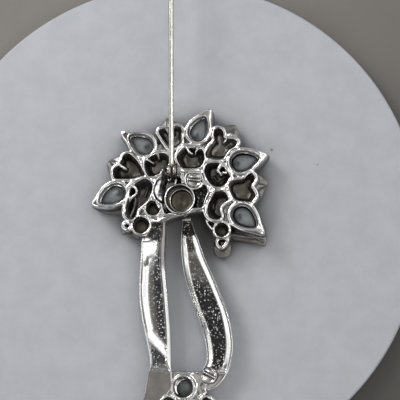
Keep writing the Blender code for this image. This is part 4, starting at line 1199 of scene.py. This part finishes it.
class DRESSPIN_OT_cluster(bpy.types.Operator):
    """Casts the lower cluster with its three settings and its leaf"""
    bl_idname = "dresspin.cluster"
    bl_label = "Lower cluster"

    def execute(self, context):
        slab = spline_loop(CLUSTER, 4)
        walls = [stack("slab", taper(slab, (0.9, 1.25), (0.97, 1.5), (1, 1.95), (1, 3.36), (0.985, 3.5),
                                     (0.96, 3.54)))]
        cuts, extra, hollows = [], [], []
        for name, x, y, radius, crest, stone in LOW_RINGS:
            ring = circle(x, y, radius, 48)
            foot = circle(x, y, max(radius + 0.4, stone + 0.6), 48)
            walls.append(stack(name, taper(foot, (0.92, 1.0), (0.98, 1.25), (1, 1.6), (1, 2.5)) + rise(
                ring, (0.3, 3.0), (0.27, crest - 0.5), (0.2, crest - 0.12), (0.07, crest))))
            inner = circle(x + 0.2 * radius, y - 0.1 * radius, radius * 0.78, 48)
            cuts.append(stack(name, rise(inner, (-0.1, 1.9), (-0.06, 3.35), (0.06, 3.5), (0, 3.9))))
            cuts.append(stack(name, rise(ring, (-0.3, 3.55), (-0.22, crest - 0.4), (-0.17, crest - 0.14),
                                         (-0.05, crest), (-0.03, crest + 0.6))))
            cuts.append(turned(name, [(stone + 0.14, 0.3), (stone + 0.14, 2.4)], x, y, 40))
            extra += claws(x, y, stone + 0.12, (0.7, 2.27, 3.84, 5.41), 0.3, 0.4, 2.0)
            hollows.append((ring, crest))
        leaf = spline_loop(LOW_LEAF, 6)
        foot = reach(grow(leaf, 0.6), (8.1, -41.6), 6.0)
        walls.append(stack("low_leaf", taper(foot, (0.6, 1.15), (0.9, 1.3), (1, 1.7)) + rise(
            leaf, (0.45, 3.9), (0.3, 4.28), (0.14, 4.4))))
        cuts.append(stack("low_leaf", taper(leaf, (0.5, 2.5), (0.62, 2.8)) + rise(
            leaf, (-0.44, 3.9), (-0.28, 4.25), (-0.1, 4.42), (-0.05, 5.0))))
        hollows.append((leaf, 4.4))
        body = casting("cluster_back", walls, cuts, extra, context.scene.dresspin_castings.skin, 4)

        x, y, z = points_of(body).T
        tilt = per_point(body, "normal")[:, 2]
        # painted shade (the 'hollow' layer): inside the rings and the leaf, on the slab's top, less towards the
        # right, and along the slab's steep top edge
        deep = np.maximum.reduce([inside(x, y, grow(ring, 0.02)) * (1 - ramp(z, crest - 0.9, crest - 0.3))
                                  for ring, crest in hollows]) * (z > 1.9)
        # the first ring's inner ledge is mostly spared the painted shade and stays bright
        ring_x, ring_y = LOW_RINGS[0][1:3]
        ledge = ramp(tilt, 0.5, 0.8) * (z > 3.3) * (z < 4.3) * (np.hypot(x - ring_x, y - ring_y) < 1.95)
        top = 0.62 - 0.5 * ramp(x, 1.6, 3.0) - 0.25 * ramp(y, -34.2, -33.4)
        top = top * ramp(tilt, 0.6, 0.9) * (1 - ledge) * (1 - ramp(z, 3.8, 4.2)) * (z > 1.0)
        border = (1 - ramp(tilt, 0.75, 0.93)) * (z > 2.9) * (z < 3.53) * (y > -33.4)
        paint(body, hollow=np.maximum.reduce([deep * (1 - 0.9 * ledge), top, 0.95 * border]), ground=0.0)
        hand_over(body, "lower_cluster", "brooch", "bright_plating", plating(context))
        return {"FINISHED"}


class DRESSPIN_OT_rivets(bpy.types.Operator):
    """Turns the two dished rivets that hold the stems"""
    bl_idname = "dresspin.rivets"
    bl_label = "Rivets"

    def execute(self, context):
        for name, node_name, spot, radius, seat, low, tilt in (
                ("upper_rivet_head", "rivet_upper", UPPER_RIVET, 1.52, 3.3, 1.2, -0.12),
                ("lower_rivet_head", "rivet_lower", LOWER_RIVET, 1.6, 3.45, 1.1, -0.45)):
            profile = [(0.05, low - 0.02), (0.5, low), (0.66, low + 0.1), (0.7, low + 0.25), (0.7, seat),
                       (radius - 0.12, seat + 0.02), (radius - 0.02, seat + 0.1), (radius, seat + 0.22),
                       (radius, seat + 0.8)]
            profile += [(radius - 0.16 + 0.16 * math.cos(a),
                         seat + 0.92 + 0.2 * math.sin(a)) for a in half_turn(8)]
            inner = radius - 0.38
            profile.append((inner, seat + 0.78))
            for k in range(1, 12):
                profile.append((inner * (1 - k / 12), seat + 0.7 - 0.12 * math.sin(math.pi * k / 24)))
            profile.append((0.05, seat + 0.57))
            obj = smooth(add(name, turned(name, profile, spot.x, spot.y, 80)), 50)
            pts = points_of(obj)
            x, y = pts[:, 0] - spot.x, pts[:, 1] - spot.y
            away = np.hypot(x, y)
            dish = (away < radius - 0.36) * (pts[:, 2] > seat + 0.4)
            across = y * math.cos(tilt) - x * math.sin(tilt)
            pts[:, 2] += dish * (0.25 * np.exp(-((across - 0.1) / 0.22) ** 2) - 0.12 * ramp(across, 0.35, 0.8)
                                 - 0.1 * (across < -0.3))
            move_points(obj, pts)
            # painted shade on the dish: a light shade all over, darker on one side up to the raised band, dark
            # lines along the band's edges; the rim is painted dark as well
            band_edge_shade = np.maximum(1 - np.abs(across - 0.38) / 0.16, 1 - np.abs(across + 0.2) / 0.16)
            dish_shade = 0.15 + 0.6 * (1 - ramp(across, 0.25, 0.45))
            rim = (away > radius - 0.16) * (pts[:, 2] > seat)
            paint(obj, hollow=dish * np.clip(dish_shade + band_edge_shade, 0, 1) + 0.9 * rim,
                  ground=0.7 * dish * np.clip(band_edge_shade, 0, 1) + 0.4 * rim)
            hand_over(obj, node_name, "brooch", "bright_plating", plating(context))
        return {"FINISHED"}


# ---------------------------------------------------------------- hinge, pin and catch
def around(y, z, radius, count=32):
    """Circle in the (y, z) plane."""
    return [(y + radius * math.cos(a), z + radius * math.sin(a)) for a in round_turn(count)]


def prism_x(name, section, x0, x1):
    return skin(name, [[(x, y, z) for y, z in section] for x in (x0, x1)])


def turned_x(name, profile, y=HINGE.y, z=HINGE.z, count=40):
    """Turned mesh about an axis along x, from (x, radius) stations."""
    return skin(name, [[(x, py, pz) for py, pz in around(y, z, radius, count)] for x, radius in profile])


def eye():
    """Round hole along the hinge axis."""
    return prism_x("eye", around(HINGE.y, HINGE.z, HINGE_BORE), -5, 2)


def lug(half, low, radius):
    """Round-headed lug that leans a little towards the flower's top."""
    arc = [(HINGE.y + 0.3 + radius * math.cos(math.radians(a)), HINGE.z + radius * math.sin(math.radians(a)))
           for a in range(-20, 201, 10)]
    return arc + [(HINGE.y - half, low), (HINGE.y + half, low)]


class DRESSPIN_OT_hinge(bpy.types.Operator):
    """Folds the hinge plate with its lugs, flange and opening stop, and sets its rivet"""
    bl_idname = "dresspin.hinge"
    bl_label = "Hinge"

    def execute(self, context):
        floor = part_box("hinge_base")[0].z / MM
        obj = add("hinge_plate", block("hinge_plate", -3.3, 1.3, 4.2, 5.75, floor, floor + 0.65))
        flange = [(3.1, floor + 0.3), (5.6, floor + 0.3), (5.6, 4.85), (5.45, 5.0), (3.25, 5.0), (3.1, 4.85)]
        loop = [(-2.35, 5.0, 5.2), (-2.25, 4.1, 5.35), (-1.95, 3.6, 5.4), (-1.65, 4.1, 5.35), (-1.55, 5.0, 5.2)]
        tongue = [(-0.7, 4.5, 5.0), (-0.8, 3.6, 5.1), (-1.0, 2.85, 5.15)]
        stop = [(5.0, floor + 0.31), (5.65, floor + 0.31), (5.7, 5.4), (5.85, 5.62), (6.2, 5.75), (6.2, 6.15),
                (5.95, 6.15), (5.5, 5.8), (5.25, 5.4)]
        combine(obj, "UNION", [prism_x("lug a", lug(1.0, floor + 0.2, 1.15), -3.28, -2.6),
                               prism_x("lug b", lug(0.98, floor + 0.21, 1.13), -0.22, 0.3),
                               prism_x("flange", flange, 0.3, 0.86),
                               swept("loop", loop, 0.15, floor + 0.22),
                               swept("tongue", tongue, 0.28, floor + 0.23),
                               prism_x("stop", stop, -2.3, -1.0)])
        combine(obj, "DIFFERENCE", [eye(), prism_x("room", around(HINGE.y + 0.2, HINGE.z, 1.5, 48), -2.6,
                                                   -0.22)])
        bevel(obj, 0.1)
        x, y, z = points_of(obj).T
        # painted shade on the hinge plate: its low part, the left lug, also given the dark grainy ground, and
        # the parts beside the lugs; a spot on the left lug is spared as a painted highlight
        crest = np.minimum(np.abs(x + 2.8), np.abs(x - 0.04))
        low_part = 0.9 * (1 - ramp(z, 4.6, 6.6)) * (1 - ramp(4.3 - y, 0.0, 0.2) * ramp(z, 4.9, 5.2))
        spot = np.hypot(x + 2.95, 0.5 * (y - 5.2)) < 0.26
        ear = 0.93 * (x < -2.4) * (z > 5.0) * (1 - spot)
        raised_part = 0.7 * ramp(crest, 0.1, 0.3) * (y > 4.3)
        hollow = np.maximum.reduce([low_part, ear, raised_part]) * (x < 0.28)
        paint(obj, hollow=hollow, ground=0.8 * ear)
        hand_over(obj, "hinge_base", "brooch", "bright_plating", plating(context))
        axle = [(-3.6, 0.18), (-3.61, 0.34), (-3.55, 0.48), (-3.45, 0.57), (-3.3, 0.61), (-3.21, 0.6),
                (-3.19, 0.36),
                (-3.17, 0.33), (0.33, 0.33), (0.35, 0.36), (0.38, 0.5), (0.43, 0.5), (0.47, 0.34), (0.48, 0.18)]
        rivet = add("hinge_axle", turned_x("hinge_axle", axle))
        hand_over(smooth(rivet, 40), "hinge_rivet", "brooch", "pin_wire", wire_material(context))
        return {"FINISHED"}


class DRESSPIN_OT_pin(bpy.types.Operator):
    """Coils the pin's knuckle and draws its wire to a point"""
    bl_idname = "dresspin.pin"
    bl_label = "Pin"

    def execute(self, context):
        sizes = context.scene.dresspin_pin
        knuckle, lift, length = sizes.knuckle, sizes.lift, sizes.reach
        ahead = Vector((0.0, math.cos(lift), math.sin(lift)))
        above = Vector((0.0, -math.sin(lift), math.cos(lift)))
        coils = []
        turns = ((-0.68, 0.28, knuckle + 0.12, 0.5), (0.4, 1.34, knuckle + 0.05, 0.45))
        for low_x, high_x, size, push in turns:
            mid, half = (low_x + high_x) / 2, (high_x - low_x) / 2
            profile = [(low_x, 0.5), (low_x, size - 0.26)]
            profile += [(mid - half * math.cos(a), size - 0.3 + 0.3 * math.sin(a)) for a in half_turn(12)[1:-1]]
            profile += [(high_x, size - 0.26), (high_x, 0.5)]
            coils.append(turned_x("pin_stem_wire", [(HINGE.x + px, radius) for px, radius in profile],
                                  HINGE.y + push * math.cos(lift), HINGE.z + push * math.sin(lift), 48))
        obj = add("pin_stem_wire", coils[0])
        core = turned_x("core", [(HINGE.x - 0.5, 0.7), (HINGE.x + 1.2, 0.7)], count=48)
        # distances from the hinge axis: even steps, then closer ones where the wire thins to its point
        stops = [0.5, 0.7, 0.95, 1.2, 1.5]
        while stops[-1] < length - 5.0:
            stops.append(stops[-1] + 0.6)
        stops += [length - short for short in (4.2, 3.4, 2.6, 1.8, 1.0, 0.4, 0.1, 0.0)]
        start = HINGE + Vector((sizes.offset, 0.0, 0.0))
        rings = []
        for d in stops:
            radius = sizes.wire * (0.86 + 0.14 * smoothstep(d, 0.5, 1.2))
            radius *= 1 + 0.012 * noise.noise(Vector((d * 0.9, 2.0, 1.0)))
            if d > length - 5.0:
                point = max(1 - ((d - (length - 5.0)) / 5.0) ** 2, 0.0) ** 0.8
                radius = min(radius, 0.05 + (sizes.wire - 0.05) * point)
            sway = 0.012 * noise.noise(Vector((d * 0.25, 7.0, 3.0)))
            centre = start + ahead * d + Vector((sway, 0, 0))
            rings.append([tuple(centre + Vector((radius * math.cos(a), 0, 0)) + above * (radius * math.sin(a)))
                          for a in round_turn(28)])
        combine(obj, "UNION", [coils[1], core, skin("wire", rings)])
        combine(obj, "DIFFERENCE", [eye()])
        smooth(obj, 40)
        x, y, z = points_of(obj).T - np.array(HINGE, np.float32)[:, None]
        # painted shade on the knuckle, strongest between its turns and on its lower front side
        edge = np.minimum(np.abs(x + 0.17), np.abs(x - 0.87))
        gap = np.maximum(ramp(edge, 0.1, 0.34), 1 - ramp(z + 0.7 * y, 0.0, 0.7))
        paint(obj, hollow=(np.hypot(y, z) < knuckle + 0.6) * (0.35 + 0.6 * gap))
        hand_over(obj, "pin_stem", "pin", "pin_wire", wire_material(context))
        return {"FINISHED"}


def around_catch(name, radius, y0, y1):
    """Round bar along the catch's axis."""
    return skin(name, [[(CATCH.x + radius * math.cos(a), y, CATCH.z + radius * math.sin(a))
                        for a in round_turn(48)] for y in (y0, y1)])


class DRESSPIN_OT_catch(bpy.types.Operator):
    """Builds the safety catch and its turning lock"""
    bl_idname = "dresspin.catch"
    bl_label = "Catch and lock"

    def execute(self, context):
        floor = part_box("catch_base")[0].z / MM
        half = 0.85
        x, y, z = CATCH
        plate = half + 0.7
        obj = add("catch_tube", block("catch_tube", x - 1.5, x + 1.5, y - plate, y + plate, floor, floor + 0.4))
        parts = [around_catch("tube", 1.25, y - half - 0.3, y + half + 0.3)]
        for side in (-1, 1):
            mid = y + side * (half + 0.275)
            parts += [around_catch("flange", 1.75, mid - 0.275, mid + 0.275),
                      block("leg", x - 1.1, x + 1.1, mid - 0.265, mid + 0.265, floor + 0.2, z)]
        combine(obj, "UNION", parts)
        combine(obj, "DIFFERENCE", [around_catch("bore", 0.8, y - 4, y + 4),
                                    block("slot", x - 0.68, x + 0.68, y - 4, y + 4, z, z + 3)])
        bevel(obj, 0.09)

        opening = math.radians(36)
        steps = 60
        turns = [math.pi / 2 + opening + (2 * math.pi - 2 * opening) * i / steps for i in range(steps + 1)]
        section = [(2.05 * math.cos(a), 2.05 * math.sin(a)) for a in turns]
        section += [(1.55 * math.cos(a), 1.55 * math.sin(a)) for a in reversed(turns)]
        tab = ((1.8, 0.15), (2.95, 0.35), (3.0, 0.75), (1.72, 0.95))
        sides = [[(x + px, y + dy, z + pz) for px, pz in section] for dy in (-0.75, 0.75)]
        sleeve = add("lock_sleeve", skin("lock_sleeve", sides))
        ends = [[(x + px, y + dy, z + pz) for px, pz in tab] for dy in (-0.55, 0.55)]
        combine(sleeve, "UNION", [skin("tab", ends)])
        bevel(sleeve, 0.1)
        for piece, node_name, body in ((obj, "catch_base", "brooch"), (sleeve, "catch_lock", "lock")):
            paint(piece, hollow=0.0, ground=0.0)
            hand_over(piece, node_name, body, "bright_plating", plating(context))
        return {"FINISHED"}


# ---------------------------------------------------------------- stage
def disc_material(colour):
    """Pale display disc: mottled, with a little grit, and a painted shadow close under the casting, weaker
    between the polished stems, which throw light back."""
    mat, tree, bsdf = fresh("display disc", Roughness=0.75)
    place = scaled_position(tree)
    mottle = node(tree, "ShaderNodeTexNoise", Scale=0.22, Detail=6.0, Roughness=0.65, Vector=place)
    base = blended(tree, mapped(tree, mottle.outputs["Fac"], 0.3, 0.7), dimmed(colour, 0.95),
                   dimmed(colour, 1.05))
    dust = node(tree, "ShaderNodeTexVoronoi", feature="F1", Scale=0.11, Vector=place)
    grit = maths(tree, "MULTIPLY", mapped(tree, dust.outputs["Distance"], 0.02, 0.04, 0.8, 0.0),
                 mapped(tree, separate(tree, dust.outputs["Color"], "Red"), 0.72, 0.78))
    base = blended(tree, grit, base, (0.06, 0.055, 0.05))
    # painted shadow: ambient occlusion from the casting darkens the disc's colour, weighted by where on the
    # disc it lies
    close = node(tree, "ShaderNodeAmbientOcclusion", Distance=9.0 * MM)
    weight = maths(tree, "MAXIMUM", mapped(tree, along(tree, place, (1.0, 0.5, 0.0)), -3.0, 0.8),
                   mapped(tree, along(tree, place, (0.0, 1.0, 0.0)), -17.0, -4.0, 0.0, 0.62))
    shadow = maths(tree, "MULTIPLY", mapped(tree, close.outputs["AO"], 0.25, 0.85, 0.85, 0.0), weight)
    fine = node(tree, "ShaderNodeTexNoise", Scale=2.6, Detail=4.0, Roughness=0.6, Vector=place)
    finish(tree, bsdf, Base_Color=blended(tree, shadow, base, (0.03, 0.026, 0.022)),
           Normal=raised(tree, fine.outputs["Fac"], 0.06, 0.4))
    return mat


def table_material(colour):
    """Plain table, with painted shade that deepens towards the front right."""
    mat, tree, bsdf = fresh("table", Roughness=0.7)
    place = scaled_position(tree)
    mottle = node(tree, "ShaderNodeTexNoise", Scale=0.05, Detail=4.0, Roughness=0.6, Vector=place)
    base = blended(tree, mapped(tree, mottle.outputs["Fac"], 0.3, 0.7), dimmed(colour, 0.94),
                   dimmed(colour, 1.06))
    fall = mapped(tree, along(tree, place, (0.5, -0.8, 0.0)), -50.0, 62.0)
    finish(tree, bsdf, Base_Color=blended(tree, fall, base, dimmed(colour, 0.34)))
    return mat


# windows of the room: compass angle from the right, angle from overhead and half width in degrees, strength
WINDOWS = [(135.0, 56.0, 20.0, 2.0), (40.0, 52.0, 20.0, 1.5), (225.0, 45.0, 15.0, 1.55),
           (315.0, 43.0, 13.0, 1.7), (5.0, 30.0, 12.0, 1.1), (3.0, 49.0, 13.0, 1.05),
           (2.0, 68.0, 13.0, 1.0), (187.0, 56.0, 17.0, 1.1)]


def between_values(tree, factor, first, second):
    item = node(tree, "ShaderNodeMix", data_type="FLOAT")
    return feed(tree, item, factor, None, first, second).outputs[0]


def room_light():
    """A plain room: a ceiling that is dull on the left, mottled walls and soft-edged bright windows."""
    world = bpy.context.scene.world or bpy.data.worlds.new("room")
    bpy.context.scene.world = world
    world.use_nodes = True
    tree = world.node_tree
    tree.nodes.clear()
    way = tree.nodes.new("ShaderNodeTexCoord").outputs["Generated"]
    x, y, height = node(tree, "ShaderNodeSeparateXYZ", Vector=way).outputs
    patches = node(tree, "ShaderNodeTexNoise", Scale=3.0, Detail=1.5, Roughness=0.5, Vector=way)
    front = maths(tree, "MULTIPLY", mapped(tree, y, -0.8, -0.45, 1.0, 0.0),
                  mapped(tree, height, 0.55, 0.7, 1.0, 0.0))
    walls = maths(tree, "MULTIPLY", mapped(tree, patches.outputs["Fac"], 0.44, 0.56, 0.12, 0.78),
                  mapped(tree, front, 0.0, 1.0, 1.0, 0.4))
    total = between_values(tree, mapped(tree, height, 0.80, 0.86), walls,
                           mapped(tree, x, -0.3, 0.3, 0.12, 0.62))
    total = between_values(tree, mapped(tree, height, 0.955, 0.97), total, 0.5)
    for compass, drop_down, half, strength in WINDOWS:
        a, b = math.radians(compass), math.radians(drop_down)
        facing = along(tree, way, (math.sin(b) * math.cos(a), math.sin(b) * math.sin(a), math.cos(b)))
        outer, inner = math.cos(math.radians(half + 2.0)), math.cos(math.radians(half - 2.0))
        total = maths(tree, "ADD", total, mapped(tree, facing, outer, inner, 0.0, strength))
    tint = blended(tree, mapped(tree, height, 0.8, 0.9), (0.97, 0.985, 1.0), (1.0, 0.955, 0.9))
    back = node(tree, "ShaderNodeBackground", Color=tint, Strength=maths(tree, "MULTIPLY", total, 0.85))
    node(tree, "ShaderNodeOutputWorld", Surface=back.outputs[0])


def soft_lamp(name, direction, distance, size, irradiance, colour):
    """Round soft lamp that gives the middle of the object the wanted irradiance, in parts of pi."""
    lamp = bpy.data.lights.new(name, "AREA")
    lamp.shape = "DISK"
    lamp.size = size * MM
    lamp.color = colour
    way = Vector(direction).normalized()
    lamp.energy = irradiance * math.pi * math.pi * (distance * MM) ** 2 / way.z
    obj = add(name, lamp)
    obj.location = way * (distance * MM)
    obj.rotation_euler = way.to_track_quat("Z", "Y").to_euler()


DISC_CENTRE = (-2.1, -3.7)
# the camera leans to the front right: its aim, its lean and compass turn in degrees, its focal length
AIM = Vector((3.9, -0.3, 5.4))
LEAN, TURN, FOCAL_LENGTH = 10.0, 27.0, 113.7


class DRESSPIN_OT_stage(bpy.types.Operator):
    """Sets the display disc, the table, the lights and the camera"""
    bl_idname = "dresspin.stage"
    bl_label = "Stage"

    def execute(self, context):
        scene = context.scene
        settings = scene.dresspin_stage
        r = settings.disc
        profile = [(0.05, -3.0), (r - 0.3, -3.0), (r, -2.7), (r, -0.5)]
        for k in range(1, 7):
            a = math.pi / 2 * k / 6
            profile.append((r - 0.5 + 0.5 * math.cos(a), -0.5 + 0.48 * math.sin(a)))
        profile += [(r * 0.7, -0.02), (r * 0.3, -0.02), (0.05, -0.02)]
        disc = smooth(add("display_disc", turned("display_disc", profile, *DISC_CENTRE, 256)), 60)
        disc.data.materials.append(disc_material(settings.floor[:]))
        table = add("table_top", block("table_top", -900, 900, -900, 900, -6.0, -3.02))
        table.data.materials.append(table_material(settings.table[:]))
        room_light()
        soft_lamp("window", (-0.66, 0.66, 0.78), 250, 100, 0.2 * settings.window, (0.98, 0.99, 1.0))
        soft_lamp("ceiling lamp", (0.22, 0.12, 1.0), 420, 45, 0.06, (1.0, 0.97, 0.92))
        cam = bpy.data.cameras.new("camera")
        cam.sensor_width = 36.0
        cam.lens = FOCAL_LENGTH
        cam.clip_start = 0.01
        cam.clip_end = 10.0
        obj = add("camera", cam)
        tilt, turn = math.radians(LEAN), math.radians(TURN)
        back = Vector((math.sin(turn) * math.sin(tilt), -math.cos(turn) * math.sin(tilt), math.cos(tilt)))
        right = (-back).cross(Vector((0.0, 1.0, 0.0))).normalized()
        placed = Matrix((right, right.cross(-back), back)).transposed().to_4x4()
        placed.translation = (AIM + back * settings.away) * MM
        obj.matrix_world = placed
        scene.camera = obj
        scene.view_settings.view_transform = "Standard"
        return {"FINISHED"}


class DRESSPIN_PT_panel(bpy.types.Panel):
    """Steps and settings of the dress pin"""
    bl_idname = "DRESSPIN_PT_panel"
    bl_label = "Dress pin"
    bl_space_type = "VIEW_3D"
    bl_region_type = "UI"
    bl_category = "Dress pin"

    def draw(self, context):
        layout = self.layout
        for group, name in GROUPS.items():
            box = layout.box()
            box.label(text=group.__doc__)
            for prop in group.__annotations__:
                box.prop(getattr(context.scene, name), prop)
        for operator in OPERATORS:
            layout.operator(operator.bl_idname)


GROUPS = {
    StoneSizes: "dresspin_stones",
    CastingSizes: "dresspin_castings",
    PinSizes: "dresspin_pin",
    FinishColours: "dresspin_colours",
    StageSettings: "dresspin_stage",
}
OPERATORS = (DRESSPIN_OT_flower, DRESSPIN_OT_cup, DRESSPIN_OT_stones, DRESSPIN_OT_stems, DRESSPIN_OT_cluster,
             DRESSPIN_OT_rivets, DRESSPIN_OT_hinge, DRESSPIN_OT_pin, DRESSPIN_OT_catch, DRESSPIN_OT_stage)


def register():
    for group, name in GROUPS.items():
        bpy.utils.register_class(group)
        setattr(bpy.types.Scene, name, bpy.props.PointerProperty(type=group))
    for item in OPERATORS + (DRESSPIN_PT_panel,):
        bpy.utils.register_class(item)


def unregister():
    for item in reversed(OPERATORS + (DRESSPIN_PT_panel,)):
        bpy.utils.unregister_class(item)
    for group, name in GROUPS.items():
        delattr(bpy.types.Scene, name)
        bpy.utils.unregister_class(group)


def main():
    register()
    for operator in OPERATORS:
        family, step = operator.bl_idname.split(".")
        getattr(getattr(bpy.ops, family), step)()


if __name__ == "__main__":
    main()
